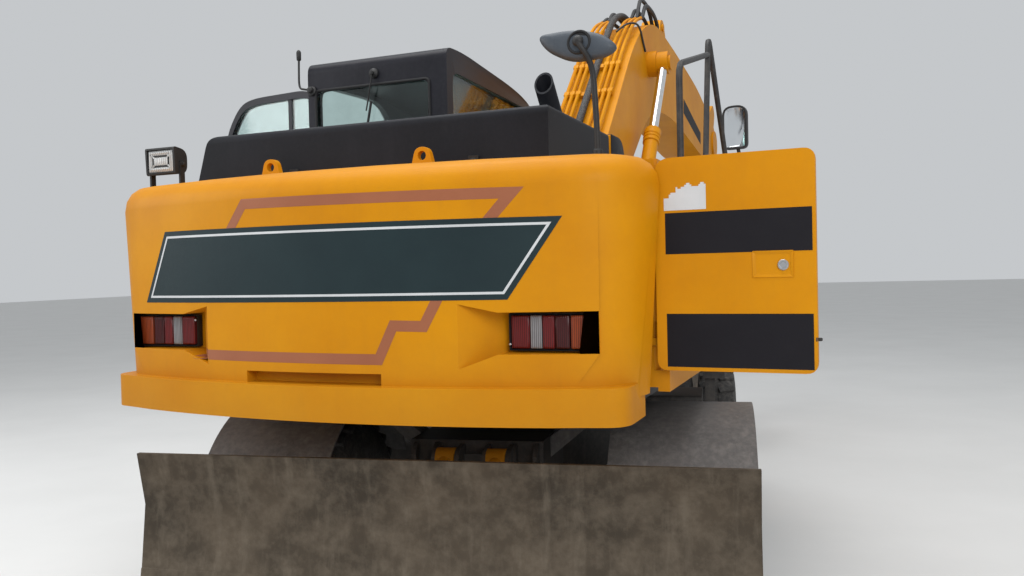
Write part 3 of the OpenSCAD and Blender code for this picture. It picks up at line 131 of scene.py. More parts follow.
def weatheredPaint(name, look):
    # dust in fine grains and in streaks that run down, and soil near the ground
    tree, shader, place = newMaterial(name)
    broad = noiseOf(tree, place, look.get("patch", 2.2), 4, 0.55)
    runs = noiseOf(tree, place, 5.0, 5, 0.6, (3.2, 3.2, 0.28))
    fine = noiseOf(tree, place, look.get("grain", 38.0), 9, 0.7)
    tint = rampOf(tree, broad, [(0.35, look["deep"]), (0.65, look["base"])])
    marks = mathOf(tree, "ADD", rampOf(tree, runs, [(0.52, 0), (0.78, 1)]),
                   rampOf(tree, fine, [(0.42, 0), (0.74, 1)]))
    height = added(tree, "SeparateXYZ", {0: place}).outputs["Z"]
    low = added(tree, "MapRange", {"From Min": look["clean"], "From Max": look["dirty"], "Value": height})
    soil = mathOf(tree, "MULTIPLY", low.outputs["Result"], rampOf(tree, broad, [(0.3, 0.45), (0.6, 1)]))
    dirt = mathOf(tree, "ADD", mathOf(tree, "MULTIPLY", marks, look["dust"]),
                  mathOf(tree, "MULTIPLY", soil, look["soil"]))
    rough = added(tree, "MapRange", {"To Min": look["gloss"], "To Max": 0.85, "Value": dirt})
    fill(tree, shader, {
        "Base Color": mixOf(tree, dirt, tint, look["dirt"]), "Roughness": rough.outputs["Result"],
        "Normal": bumpOf(tree, fine, look.get("bump", 0.06), 0.004),
        "Specular IOR Level": look.get("shine", 0.35),
        "Coat Weight": look.get("coat", 0.0), "Coat Roughness": 0.12})


def hoseRubber():
    tree, shader, place = newMaterial("hoseRubber")
    fade, weave = noiseOf(tree, place, 6.0), noiseOf(tree, place, 420.0, 2, 0.5)
    tint = rampOf(tree, fade, [(0.3, (0.012, 0.012, 0.013)), (0.8, (0.045, 0.044, 0.042))])
    fill(tree, shader, {"Base Color": tint, "Roughness": 0.55, "Normal": bumpOf(tree, weave, 0.3, 0.001)})


def polishedRod():
    tree, shader, place = newMaterial("polishedRod")
    film = noiseOf(tree, place, 30.0, 6)
    tint = rampOf(tree, film, [(0.35, (0.80, 0.81, 0.82)), (0.75, (0.66, 0.66, 0.65))])
    fill(tree, shader, {"Base Color": tint, "Metallic": 1.0,
                        "Roughness": rampOf(tree, film, [(0.3, 0.12), (0.8, 0.22)])})


def cabGlass():
    tree, shader, place = newMaterial("cabGlass")
    haze = noiseOf(tree, place, 9.0, 5)
    tint = rampOf(tree, haze, [(0.3, (0.62, 0.80, 0.77)), (0.8, (0.54, 0.70, 0.67))])
    fill(tree, shader, {"Base Color": tint, "Roughness": mathOf(tree, "MULTIPLY", haze, 0.12),
                        "Transmission Weight": 1.0, "IOR": 1.45})


def seatCloth():
    tree, shader, place = newMaterial("seatCloth")
    weave = added(tree, "TexWave", {"Scale": 90.0, "Distortion": 1.5, "Vector": place}).outputs["Fac"]
    fade = noiseOf(tree, place, 12.0)
    tint = rampOf(tree, fade, [(0.3, (0.03, 0.032, 0.038)), (0.7, (0.055, 0.058, 0.066))])
    thread = mixOf(tree, mathOf(tree, "MULTIPLY", weave, 0.35), tint, (0.10, 0.10, 0.11))
    fill(tree, shader, {"Base Color": thread, "Roughness": 0.9, "Sheen Weight": 0.3,
                        "Normal": bumpOf(tree, weave, 0.4, 0.002)})


def sleeveMesh():
    tree, shader, place = newMaterial("sleeveMesh")
    weave = added(tree, "TexVoronoi", {"Scale": 110.0, "Vector": place}).outputs["Distance"]
    fill(tree, shader, {
        "Base Color": rampOf(tree, weave, [(0.2, (0.008, 0.008, 0.008)), (0.7, (0.075, 0.072, 0.07))]),
        "Roughness": 0.7, "Normal": bumpOf(tree, weave, 0.8, 0.004)})


def lampLens(name, look):
    # moulded lens: fine upright ribs, with painted shade darkening the colour along each rib's groove, and a
    # little grime in them
    tree, shader, place = newMaterial(name)
    wave = added(tree, "TexWave", {"Scale": look.get("ribs", 42.0), "Distortion": 0.0, "Vector": place})
    ribs = wave.outputs["Fac"]
    grime = mathOf(tree, "MULTIPLY", noiseOf(tree, place, 24.0, 6), 0.35)
    # painted shade: the colour turns to its deep tone where each rib's bump is low
    ribShadedLens = rampOf(tree, ribs, [(0.1, look["deep"]), (0.9, look["base"])])
    fill(tree, shader, {"Base Color": mixOf(tree, grime, ribShadedLens, (0.05, 0.04, 0.035)), "Roughness": 0.22,
                        "Specular IOR Level": 0.3, "Normal": bumpOf(tree, ribs, 0.5, 0.002)})


def plainSheen(name, look):
    # film or bare metal: broad fading, fine scuffs and their gloss
    tree, shader, place = newMaterial(name)
    fade = noiseOf(tree, place, 4.0, 5)
    scuff = noiseOf(tree, place, 90.0, 8, 0.75)
    tint = rampOf(tree, fade, [(0.3, look["deep"]), (0.7, look["base"])])
    worn = mathOf(tree, "MULTIPLY", rampOf(tree, scuff, [(0.58, 0), (0.82, 1)]), look.get("wear", 0.25))
    gloss = look["gloss"]
    fill(tree, shader, {
        "Base Color": mixOf(tree, worn, tint, look["worn"]), "Metallic": look.get("metal", 0.0),
        "Roughness": rampOf(tree, scuff, [(0.3, gloss), (0.8, gloss + 0.25)]),
        "Normal": bumpOf(tree, scuff, look.get("bump", 0.05), 0.002),
        "Specular IOR Level": look.get("shine", 0.4)})


paints = {
    "yellowPaint": {"base": (0.62, 0.255, 0.0025), "deep": (0.55, 0.21, 0.002), "dirt": (0.16, 0.09, 0.03),
        "dust": 0.05, "soil": 0.35, "clean": 1.6, "dirty": 0.9, "gloss": 0.48, "coat": 0.02, "bump": 0.03,
        "shine": 0.12},
    "hoodBlack": {"base": (0.011, 0.012, 0.017), "deep": (0.007, 0.008, 0.011), "dirt": (0.08, 0.08, 0.09),
        "dust": 0.05, "shine": 0.18, "soil": 0.1, "clean": 1.7, "dirty": 1.0, "gloss": 0.55, "bump": 0.12,
        "grain": 60.0},
    "frameBlack": {"base": (0.030, 0.030, 0.032), "deep": (0.018, 0.018, 0.019), "dirt": (0.16, 0.14, 0.12),
        "dust": 0.28, "soil": 0.55, "clean": 1.3, "dirty": 0.5, "gloss": 0.5, "bump": 0.16},
    "mudguardGrey": {"base": (0.110, 0.105, 0.103), "deep": (0.068, 0.066, 0.065),
        "dirt": (0.28, 0.26, 0.245), "dust": 0.34, "soil": 0.30, "clean": 1.4, "dirty": 0.5, "gloss": 0.6,
        "bump": 0.18},
    "axleGrey": {"base": (0.10, 0.10, 0.10), "deep": (0.06, 0.06, 0.062), "dirt": (0.17, 0.14, 0.11),
        "dust": 0.35, "soil": 0.5, "clean": 1.0, "dirty": 0.3, "gloss": 0.5, "bump": 0.2},
    "cabGrey": {"base": (0.014, 0.014, 0.020), "deep": (0.009, 0.009, 0.013), "dirt": (0.11, 0.11, 0.12),
        "dust": 0.06, "shine": 0.22, "soil": 0.2, "clean": 1.7, "dirty": 1.2, "gloss": 0.38, "bump": 0.05},
    "bladeSteel": {"base": (0.072, 0.053, 0.035), "deep": (0.036, 0.027, 0.018),
        "dirt": (0.17, 0.14, 0.105), "dust": 0.42, "shine": 0.2, "soil": 0.35, "clean": 1.05, "dirty": 0.4,
        "gloss": 0.55, "bump": 0.5, "grain": 14.0, "patch": 3.5},
    "bucketSteel": {"base": (0.12, 0.105, 0.09), "deep": (0.06, 0.052, 0.045), "dirt": (0.26, 0.21, 0.16),
        "dust": 0.4, "soil": 0.3, "clean": 1.0, "dirty": 0.2, "gloss": 0.42, "bump": 0.4, "grain": 18.0},
    "tyreRubber": {"base": (0.034, 0.034, 0.035), "deep": (0.022, 0.022, 0.022), "dirt": (0.22, 0.20, 0.18),
        "dust": 0.36, "soil": 0.25, "clean": 1.1, "dirty": 0.2, "gloss": 0.75, "bump": 0.25, "grain": 50.0},
    "mouldedBlack": {"base": (0.018, 0.018, 0.019), "deep": (0.012, 0.012, 0.012),
        "dirt": (0.14, 0.13, 0.12), "dust": 0.12, "soil": 0.1, "clean": 1.0, "dirty": 0.4, "gloss": 0.5,
        "bump": 0.2, "grain": 160.0},
    "mirrorShell": {"base": (0.050, 0.062, 0.078), "deep": (0.040, 0.050, 0.064),
        "dirt": (0.16, 0.16, 0.16), "dust": 0.12, "soil": 0.0, "clean": 1.0, "dirty": 0.4, "gloss": 0.45,
        "bump": 0.08, "grain": 120.0}}
# for each lens: base is its colour, deep the painted shade in its rib grooves
lenses = {
    "redLens": {"base": (0.20, 0.008, 0.010), "deep": (0.07, 0.003, 0.004)},
    "darkRedLens": {"base": (0.075, 0.005, 0.007), "deep": (0.03, 0.002, 0.003)},
    "amberLens": {"base": (0.34, 0.055, 0.008), "deep": (0.14, 0.02, 0.004)},
    "clearLens": {"base": (0.34, 0.34, 0.35), "deep": (0.14, 0.14, 0.15)},
    "workLens": {"base": (0.78, 0.79, 0.78), "deep": (0.42, 0.43, 0.43), "ribs": 30.0}}
sheens = {
    "darkFilm": {"base": (0.015, 0.030, 0.034), "deep": (0.012, 0.024, 0.028), "worn": (0.07, 0.08, 0.08),
        "gloss": 0.42, "shine": 0.2},
    "whiteFilm": {"base": (0.62, 0.63, 0.64), "deep": (0.52, 0.53, 0.54), "worn": (0.25, 0.24, 0.22),
        "gloss": 0.4},
    "clayFilm": {"base": (0.33, 0.110, 0.046), "deep": (0.29, 0.092, 0.038), "worn": (0.42, 0.18, 0.05),
        "gloss": 0.4},
    "blackFilm": {"base": (0.010, 0.009, 0.012), "deep": (0.007, 0.006, 0.009),
        "worn": (0.04, 0.036, 0.036), "gloss": 0.5, "shine": 0.2},
    "plateMetal": {"base": (0.58, 0.59, 0.60), "deep": (0.42, 0.43, 0.44), "worn": (0.20, 0.16, 0.12),
        "gloss": 0.25, "metal": 1.0},
    "darkBolt": {"base": (0.060, 0.058, 0.056), "deep": (0.032, 0.030, 0.030), "worn": (0.16, 0.10, 0.06),
        "gloss": 0.45, "metal": 0.6},
    "mirrorFace": {"base": (0.80, 0.82, 0.84), "deep": (0.72, 0.75, 0.77), "worn": (0.5, 0.5, 0.5),
        "gloss": 0.03, "wear": 0.1, "metal": 1.0, "bump": 0.0},
    "sealRubber": {"base": (0.016, 0.016, 0.017), "deep": (0.010, 0.010, 0.011), "worn": (0.07, 0.07, 0.07),
        "gloss": 0.6}}
for makeOne, looks in ((weatheredPaint, paints), (lampLens, lenses), (plainSheen, sheens)):
    for name, look in looks.items():
        makeOne(name, look)
for make in (sleeveMesh, polishedRod, cabGlass, seatCloth, hoseRubber):
    make()

finishes = {
    "yellowPaint": "counterweight lifting_lugs side_bodywork service_door_right service_door_left boom "
                   "boom_pipes lift_barrels dipper dipper_barrel bucket_lever bucket_link bucket_barrel "
                   "blade_barrels rims_front_left rims_front_right rims_rear_left rims_rear_right",
    "hoodBlack": "hood exhaust",
    "mudguardGrey": "rear_mudguards",
    "frameBlack": "chassis side_boxes upper_frame handrails blade_lower_arms blade_upper_links",
    "axleGrey": "transmission rear_axle front_axle knuckle_left knuckle_right engine_block",
    "cabGrey": "cab_shell cab_door",
    "bladeSteel": "blade",
    "bucketSteel": "bucket",
    "tyreRubber": "tyres_front_left tyres_front_right tyres_rear_left tyres_rear_right",
    "mouldedBlack": "rear_mirror front_mirror cab_controls work_lamp tail_lamps",
    "polishedRod": "steering_rod blade_rods lift_rods dipper_rod bucket_rod",
    "cabGlass": "cab_windows cab_door_window",
    "seatCloth": "seat",
    "hoseRubber": "boom_hoses",
}
for finish, names in finishes.items():
    for name in names.split():
        nodes[name].data.materials.clear()
        nodes[name].data.materials.append(bpy.data.materials[finish])
print("stage: materials")


# Tools for the pieces
def named(name):
    piece = bpy.context.object
    piece.name = name
    return piece


def pick(*pieces):
    bpy.ops.object.select_all(action="DESELECT")
    for piece in pieces:
        piece.select_set(True)
    bpy.context.view_layer.objects.active = pieces[0]


def startEdit(piece):
    pick(piece)
    bpy.ops.object.mode_set(mode="EDIT")
    bpy.ops.mesh.select_mode(type="FACE")
    bpy.ops.mesh.select_all(action="DESELECT")


def endEdit():
    bpy.ops.object.mode_set(mode="OBJECT")


def pickFaces(piece, wanted):
    form = bmesh.from_edit_mesh(piece.data)
    for face in form.faces:
        face.select_set(bool(wanted(face)))
    bmesh.update_edit_mesh(piece.data)


def radiansOf(angles):
    return [math.radians(angle) for angle in angles]


def useModifiers(piece):
    pick(piece)
    for modifier in [m.name for m in piece.modifiers]:
        bpy.ops.object.modifier_apply(modifier=modifier)


def softEdges(piece, width, rings=2, sharp=35):
    bevel = piece.modifiers.new("edges", "BEVEL")
    bevel.width, bevel.segments = width, rings
    bevel.limit_method, bevel.angle_limit = "ANGLE", math.radians(sharp)
    useModifiers(piece)


def drawn(shift):
    bpy.ops.mesh.extrude_region_move(TRANSFORM_OT_translate={"value": shift})


def evenNormals():
    bpy.ops.mesh.select_all(action="SELECT")
    bpy.ops.mesh.normals_make_consistent(inside=False)


def swung(swing):
    # the turn about a door's upright pin
    (x, y), angle = swing
    return (Matrix.Translation((x, y, 0)) @ Matrix.Rotation(math.radians(angle), 4, "Z")
            @ Matrix.Translation((-x, -y, 0)))


def settle(piece, finish, body="upper_structure", upper=True, swing=None, smooth=35):
    # gives the piece its finish, puts its place into the mesh and lets it ride
    pick(piece)
    piece.data.materials.clear()
    piece.data.materials.append(bpy.data.materials[finish])
    bpy.ops.object.transform_apply(location=True, rotation=True, scale=True)
    if swing:
        piece.data.transform(swung(swing))
    if upper:
        piece.rotation_euler.z = turn
        bpy.ops.object.transform_apply(rotation=True)
    bpy.ops.object.shade_smooth_by_angle(angle=math.radians(smooth))
    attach(piece, body)
    return piece


def block(name, middle, size, edge=0.003, tilt=(0, 0, 0), rings=2):
    bpy.ops.mesh.primitive_cube_add(size=1, location=middle, rotation=radiansOf(tilt), scale=size)
    piece = named(name)
    bpy.ops.object.transform_apply(location=False, rotation=False, scale=True)
    softEdges(piece, edge, rings)
    return piece


def worked(piece, towards, *steps):
    # the faces that look one way are inset and then moved that way, step by step
    towards = Vector(towards)
    startEdit(piece)
    pickFaces(piece, lambda face: face.normal.dot(towards) > 0.9)
    for inset, shift in steps:
        bpy.ops.mesh.inset(thickness=inset)
        if shift:
            bpy.ops.transform.translate(value=towards * shift)
    endEdit()


def turned(name, start, towards, rings, sides):
    # rings: distance along the axis and radius, from its start
    bpy.ops.mesh.primitive_circle_add(vertices=sides, radius=rings[0][1], fill_type="NGON", location=start,
                                      rotation=Vector(towards).to_track_quat("Z", "Y").to_euler())
    piece = named(name)
    axis = piece.matrix_world.to_3x3() @ Vector((0, 0, 1))
    startEdit(piece)
    bpy.ops.mesh.select_all(action="SELECT")
    for (at, radius), (last, before) in zip(rings[1:], rings):
        drawn(axis * (at - last))
        bpy.ops.transform.resize(value=(radius / before,) * 3)
    evenNormals()
    endEdit()
    return piece


def tube(name, points, radius, sides=4, closed=False):
    # a bent tube through rounded corners
    bpy.ops.curve.primitive_nurbs_path_add(location=(0, 0, 0))
    piece = named(name)
    line = piece.data
    line.splines.clear()
    spline = line.splines.new("NURBS")
    spline.points.add(len(points) - 1)
    for knot, place in zip(spline.points, points):
        knot.co = (*place, 1)
    spline.order_u = 3
    spline.use_endpoint_u = not closed
    spline.use_cyclic_u = closed
    spline.resolution_u = 6
    line.bevel_depth, line.bevel_resolution, line.use_fill_caps = radius, sides, True
    bpy.ops.object.convert(target="MESH")
    return bpy.context.object


def copied(piece, name, places):
    # each copy keeps its own mesh; all are joined into one piece
    copies = []
    for place in places:
        pick(piece)
        bpy.ops.object.duplicate(linked=False)
        one = bpy.context.object
        one.matrix_world = place @ one.matrix_world
        copies.append(one)
    bpy.data.objects.remove(piece)
    pick(*copies)
    bpy.ops.object.join()
    return named(name)


def joined(name, parts):
    pick(*parts)
    bpy.ops.object.join()
    return named(name)


intoUpper = Matrix.Rotation(-turn, 4, "Z")
cabCorner = {"sides": (-1.250, -0.297), "rear": -0.500, "roof": 3.000, "radius": 0.042, "near": 0.003}


def roundCabCorners(piece):
    # the pressed side frames turn into the rear wall and the roof with a soft corner
    flat = intoUpper.to_3x3()
    startEdit(piece)
    bpy.ops.mesh.select_mode(type="EDGE")
    form = bmesh.from_edit_mesh(piece.data)
    for edge in form.edges:
        ends = [intoUpper @ vertex.co for vertex in edge.verts]
        off = min(max(abs(end.x - side) for end in ends) for side in cabCorner["sides"])
        atRim = all(end.y < cabCorner["rear"] or end.z > cabCorner["roof"] for end in ends)
        if off > cabCorner["near"] or not (atRim and edge.is_manifold):
            continue
        normals = [flat @ face.normal for face in edge.link_faces]
        outward, backward = [abs(n.x) > 0.95 for n in normals], [n.z - n.y > 0.5 for n in normals]
        if any(outward) and any(backward):
            edge.select_set(edge.is_convex)
    bmesh.update_edit_mesh(piece.data)
    bpy.ops.mesh.bevel(offset=cabCorner["radius"], segments=6, affect="EDGES", clamp_overlap=True)
    endEdit()


def refined(node, edge):
    # the same form with broken edges and smooth curves
    piece = bpy.data.objects.new(node + "Dressed", nodes[node].data.copy())
    bpy.context.scene.collection.objects.link(piece)
    startEdit(piece)
    bpy.ops.mesh.select_all(action="SELECT")
    bpy.ops.mesh.remove_doubles(threshold=0.00004)
    bpy.ops.mesh.dissolve_limited(angle_limit=math.radians(0.6))
    evenNormals()
    endEdit()
    if node == "cab_shell":
        roundCabCorners(piece)
    if edge:
        softEdges(piece, edge, sharp=32)
    pick(piece)
    bpy.ops.object.shade_smooth_by_angle(angle=math.radians(42))
    weighted = piece.modifiers.new("evenShade", "WEIGHTED_NORMAL")
    weighted.keep_sharp = True
    useModifiers(piece)
    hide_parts(node)
    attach(piece, nodes[node]["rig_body"])
    return piece


dressed = {  # node: width of its broken edges
    "counterweight": 0.006, "side_bodywork": 0.004, "service_door_right": 0.004, "service_door_left": 0.004,
    "hood": 0.012, "upper_frame": 0.003, "lifting_lugs": 0.004, "chassis": 0.003, "rear_mudguards": 0.002,
    "side_boxes": 0.004, "cab_shell": 0.004, "cab_door": 0.004, "boom": 0.008, "dipper": 0.006,
    "bucket": 0.004, "bucket_lever": 0.003, "bucket_link": 0.003, "blade": 0.004, "blade_lower_arms": 0.003,
    "blade_upper_links": 0.003, "blade_barrels": 0.0015, "lift_barrels": 0.002, "dipper_barrel": 0.002,
    "bucket_barrel": 0.002, "exhaust": 0.002, "front_mirror": 0.008, "handrails": 0, "boom_pipes": 0,
    "boom_hoses": 0, "knuckle_left": 0.002, "knuckle_right": 0.002, "front_axle": 0.002, "rear_axle": 0.002,
    "cab_windows": 0.001, "rims_front_left": 0.002, "rims_front_right": 0.002, "rims_rear_left": 0.002,
    "rims_rear_right": 0.002, "transmission": 0.003, "cab_controls": 0.004, "cab_door_window": 0.001,
    "work_lamp": 0.003}
shaped = {node: refined(node, edge) for node, edge in dressed.items()}
print("stage: dressed nodes")


# Films on the counterweight
def film(name, corners, cuts, finish, onto, **pressing):
    # a thin skin: laid out flat in the upper structure's own frame, then pressed onto the metal
    bpy.ops.mesh.primitive_plane_add(size=2, location=(0, 0, 0))
    piece = named(name)
    startEdit(piece)
    bpy.ops.mesh.select_all(action="SELECT")
    form = bmesh.from_edit_mesh(piece.data)
    places = dict(zip(((-1, 1), (1, 1), (1, -1), (-1, -1)), corners))
    for vertex in form.verts:
        vertex.co = places[(round(vertex.co.x), round(vertex.co.y))]
    bmesh.update_edit_mesh(piece.data)
    bpy.ops.mesh.subdivide(number_cuts=cuts)
    endEdit()
    return pressed(piece, finish, onto, **pressing)


def pressed(piece, finish, onto, body="upper_structure", lift=0.0008, along="Y", swing=None):
    piece.rotation_euler.z = turn
    if swing:
        piece.matrix_world = Matrix.Rotation(turn, 4, "Z") @ swung(swing)
    wrap = piece.modifiers.new("press", "SHRINKWRAP")
    wrap.target, wrap.wrap_method, wrap.wrap_mode, wrap.offset = onto, "PROJECT", "ABOVE_SURFACE", lift
    wrap.use_project_x, wrap.use_project_y = along == "X", along == "Y"
    wrap.use_negative_direction, wrap.use_positive_direction = along == "X", along == "Y"
    useModifiers(piece)
    return settle(piece, finish, body, upper=False)


def ribbonCorners(path, width, front):
    # quads along a bent band, mitred at its corners; path holds x and z
    flat = [Vector(p) for p in path]
    edges = []
    for i, p in enumerate(flat):
        into = (p - flat[i - 1]).normalized() if i else (flat[1] - p).normalized()
        out = (flat[i + 1] - p).normalized() if i < len(flat) - 1 else into
        side = Vector((-into.y - out.y, into.x + out.x)).normalized()
        reach = width / 2 / max(0.3, side.dot(Vector((-into.y, into.x))))
        edges.append((p + side * reach, p - side * reach))
    return [[(a.x, front, a.y), (c.x, front, c.y), (d.x, front, d.y), (b.x, front, b.y)]
            for (a, b), (c, d) in zip(edges, edges[1:])]


def insetCorners(corners, by):
    flat = [Vector(c) for c in corners]
    inner = []
    for i, p in enumerate(flat):
        a, b = (flat[i - 1] - p).normalized(), (flat[(i + 1) % len(flat)] - p).normalized()
        inner.append(p + (a + b) * (by / max(0.2, abs(a.x * b.y - a.y * b.x))))
    return inner


# The counterweight's bumper, the side window and the open end of the exhaust, fitted on the dressed copies
weight = shaped["counterweight"]
bumper = {
    "top": 1.376, "ahead": -1.0, "fade": 1.300, "low": 1.200, "newLow": 1.240, "from": 0.90, "half": 1.210,
    "newHalf": 1.162}


def bumperFit():
    # its ends stand a little further in and its underside a little higher
    share = (bumper["newHalf"] - bumper["from"]) / (bumper["half"] - bumper["from"])
    rise = (bumper["newLow"] - bumper["low"]) / (bumper["fade"] - bumper["low"])
    for vertex in weight.data.vertices:
        place = intoUpper @ vertex.co
        if place.z > bumper["top"] or place.y > bumper["ahead"]:
            continue
        over = max(0, abs(place.x) - bumper["from"])
        place.x = math.copysign(min(abs(place.x), bumper["from"]) + over * share, place.x)
        place.z += max(0, bumper["fade"] - place.z) * rise
        vertex.co = intoUpper.inverted() @ place
    weight.data.update()


bumperFit()
sideWindow = {
    "inner": -0.365, "behind": 1.160, "ahead": -0.495, "low": 2.700, "high": 2.912, "raise": 0.085,
    "fall": 0.45}


def raiseSideWindow(piece):
    # the right side window reaches up close to the roof, most of all at the rear
    long, tall = sideWindow["behind"] - sideWindow["ahead"], sideWindow["high"] - sideWindow["low"]
    for vertex in piece.data.vertices:
        place = intoUpper @ vertex.co
        inWall = place.x > sideWindow["inner"] and sideWindow["ahead"] < place.y < sideWindow["behind"]
        if inWall and sideWindow["low"] < place.z < sideWindow["high"]:
            along, up = (place.y - sideWindow["ahead"]) / long, (place.z - sideWindow["low"]) / tall
            vertex.co.z += sideWindow["raise"] * up * (1 - sideWindow["fall"] * along)
    piece.data.update()


for node in ("cab_shell", "cab_windows"):
    raiseSideWindow(shaped[node])
stack = {"middle": (0.316, -0.470), "bend": 0.150, "lean": (24, -8, 0), "from": 0.150, "slope": 0.85}


def cutStackEnd():
    # the open end is cut at a slant and looks to the rear
    piece = shaped["exhaust"]
    foot = min(v.co.z for v in nodes["exhaust"].data.vertices)
    lean = Euler(radiansOf(stack["lean"])).to_matrix()
    axis, front = lean @ Vector((0, 0, 1)), lean @ Vector((0, 1, 0))
    start = Vector((*stack["middle"], foot + stack["bend"]))
    for vertex in piece.data.vertices:
        place = intoUpper @ vertex.co
        out = place - start
        if out.dot(axis) > stack["from"]:
            vertex.co = intoUpper.inverted() @ (place + axis * out.dot(front) * stack["slope"])
    piece.data.update()


cutStackEnd()
panel = {
    "corners": [(-0.812, 1.989), (0.944, 1.980), (0.747, 1.689), (-0.953, 1.691)], "front": -2.6,
    "line": 0.009, "inset": 0.020, "bandWidth": 0.040,
    "bandTop": [(-0.425, 1.975), (-0.347, 2.079), (0.769, 2.068), (0.677, 1.965)],
    "bandLow": [(0.492, 1.700), (0.435, 1.596), (0.315, 1.599), (0.254, 1.474), (-0.650, 1.479)],
    "lift": {"tailPanel": 0.0012, "panelLine": 0.0020, "clayBand": 0.0006},
    "cuts": {"tailPanel": 60, "panelLine": 40, "clayBand": 30}}


def panelFilms():
    def skin(name, corners, finish):
        return film(name, corners, panel["cuts"][name], finish, weight, lift=panel["lift"][name])

    front = panel["front"]
    skin("tailPanel", [(x, front, z) for x, z in panel["corners"]], "darkFilm")
    outer = insetCorners(panel["corners"], panel["inset"])
    inner = insetCorners(panel["corners"], panel["inset"] + panel["line"])
    around = zip(outer, outer[1:] + outer[:1], inner[1:] + inner[:1], inner)
    strips = [skin("panelLine", [(p.x, front, p.y) for p in strip], "whiteFilm") for strip in around]
    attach(joined("panelLine", strips), "upper_structure")
    quads = [quad for path in (panel["bandTop"], panel["bandLow"])
             for quad in ribbonCorners(path, panel["bandWidth"], front)]
    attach(joined("clayBand", [skin("clayBand", quad, "clayFilm") for quad in quads]), "upper_structure")


panelFilms()

# Films, latch and peg on the open service door
door = {"swing": ((1.208, -1.905), -93.0), "rear": -1.902, "skin": 1.245, "out": 1.4}
doorFilms = {  # name: near and far end from the hinge, low and high edge, finish
    "doorBandTop": (0.038, 0.553, 1.838, 1.989, "blackFilm"),
    "doorBandLow": (0.038, 0.553, 1.424, 1.619, "blackFilm")}
onDoor = {"body": "right_service_door", "swing": door["swing"]}
for name, (near, far, low, high, finish) in doorFilms.items():
    y0, y1, x = door["rear"] + near, door["rear"] + far, door["out"]
    film(name, [(x, y0, high), (x, y1, high), (x, y1, low), (x, y0, low)], 24, finish,
         shaped["service_door_right"], along="X", **onDoor)
sticker = {
    "size": (0.155, 0.104), "middle": (0.112, 2.05), "grid": (24, 16), "lift": 0.0009, "tear": 0.42,
    "ragged": 0.07, "edge": 0.40, "wavy": 0.06}


def blankSticker():
    # a worn sheet: its upper corner is torn away
    across, up = sticker["grid"]
    bpy.ops.mesh.primitive_grid_add(x_subdivisions=across, y_subdivisions=up, size=1, location=(0, 0, 0))
    piece = named("doorSticker")
    startEdit(piece)
    form = bmesh.from_edit_mesh(piece.data)
    torn = [v for v in form.verts if (v.co.x + 0.5) * 0.9 + (0.5 - v.co.y) * 0.75
            < sticker["tear"] + sticker["ragged"] * math.sin(v.co.x * 41)
            or v.co.y > sticker["edge"] + sticker["wavy"] * math.sin(v.co.x * 19)]
    bmesh.ops.delete(form, geom=torn, context="VERTS")
    (wide, high), (y, z) = sticker["size"], sticker["middle"]
    for v in form.verts:
        v.co = (door["out"], door["rear"] + y + v.co.x * wide, z + v.co.y * high)
    bmesh.update_edit_mesh(piece.data)
    endEdit()
    pressed(piece, "whiteFilm", shaped["service_door_right"], lift=sticker["lift"], along="X", **onDoor)


blankSticker()
latch = {
    "near": 0.352, "far": 0.487, "low": 1.749, "high": 1.839, "plate": (0.006, 0.140, 0.094),
    "lock": [(0, 0.019), (0.006, 0.019), (0.008, 0.017), (0.008, 0.012), (0.004, 0.011), (0.004, 0.003)],
    "pegAt": (1.238, -1.342, 1.530),
    "peg": [(0, 0.010), (0.004, 0.010), (0.004, 0.006), (0.018, 0.006), (0.020, 0.004)]}


def doorLatch():
    y, z = door["rear"] + (latch["near"] + latch["far"]) / 2, (latch["low"] + latch["high"]) / 2
    plate = block("latchPlate", (door["skin"] + 0.001, y, z), latch["plate"], 0.002)
    worked(plate, (1, 0, 0), (0.008, -0.0035), (0.004, 0))
    settle(plate, "yellowPaint", **onDoor)
    lock = turned("latchLock", (door["skin"] - 0.001, y + 0.035, z - 0.004), (1, 0, 0), latch["lock"], 24)
    settle(lock, "plateMetal", **onDoor)
    peg = turned("doorPeg", latch["pegAt"], (0, 1, 0), latch["peg"], 16)
    settle(peg, "darkBolt", **onDoor)


doorLatch()

# Tail lamps: a black housing with ribbed lenses in a row
tailLamp = {
    "x": 0.884, "z": 1.568, "width": 0.336, "height": 0.138, "depth": 0.037, "face": -2.194, "rim": 0.007,
    "gap": 0.003, "behind": 0.019, "edge": 0.006, "recess": -0.016, "lensDepth": 0.020, "lensEdge": 0.004,
    "lensDome": (0.006, 0.0015), "screwIn": 0.006, "screwRise": 0.045,
    "screw": [(0, 0.005), (0.0015, 0.005), (0.003, 0.003)],
    "lenses": [  # finish, inner and outer share of the row
        ("redLens", 0.0, 0.23), ("clearLens", 0.23, 0.38), ("redLens", 0.38, 0.535),
        ("darkRedLens", 0.535, 0.71), ("amberLens", 0.72, 0.965)]}


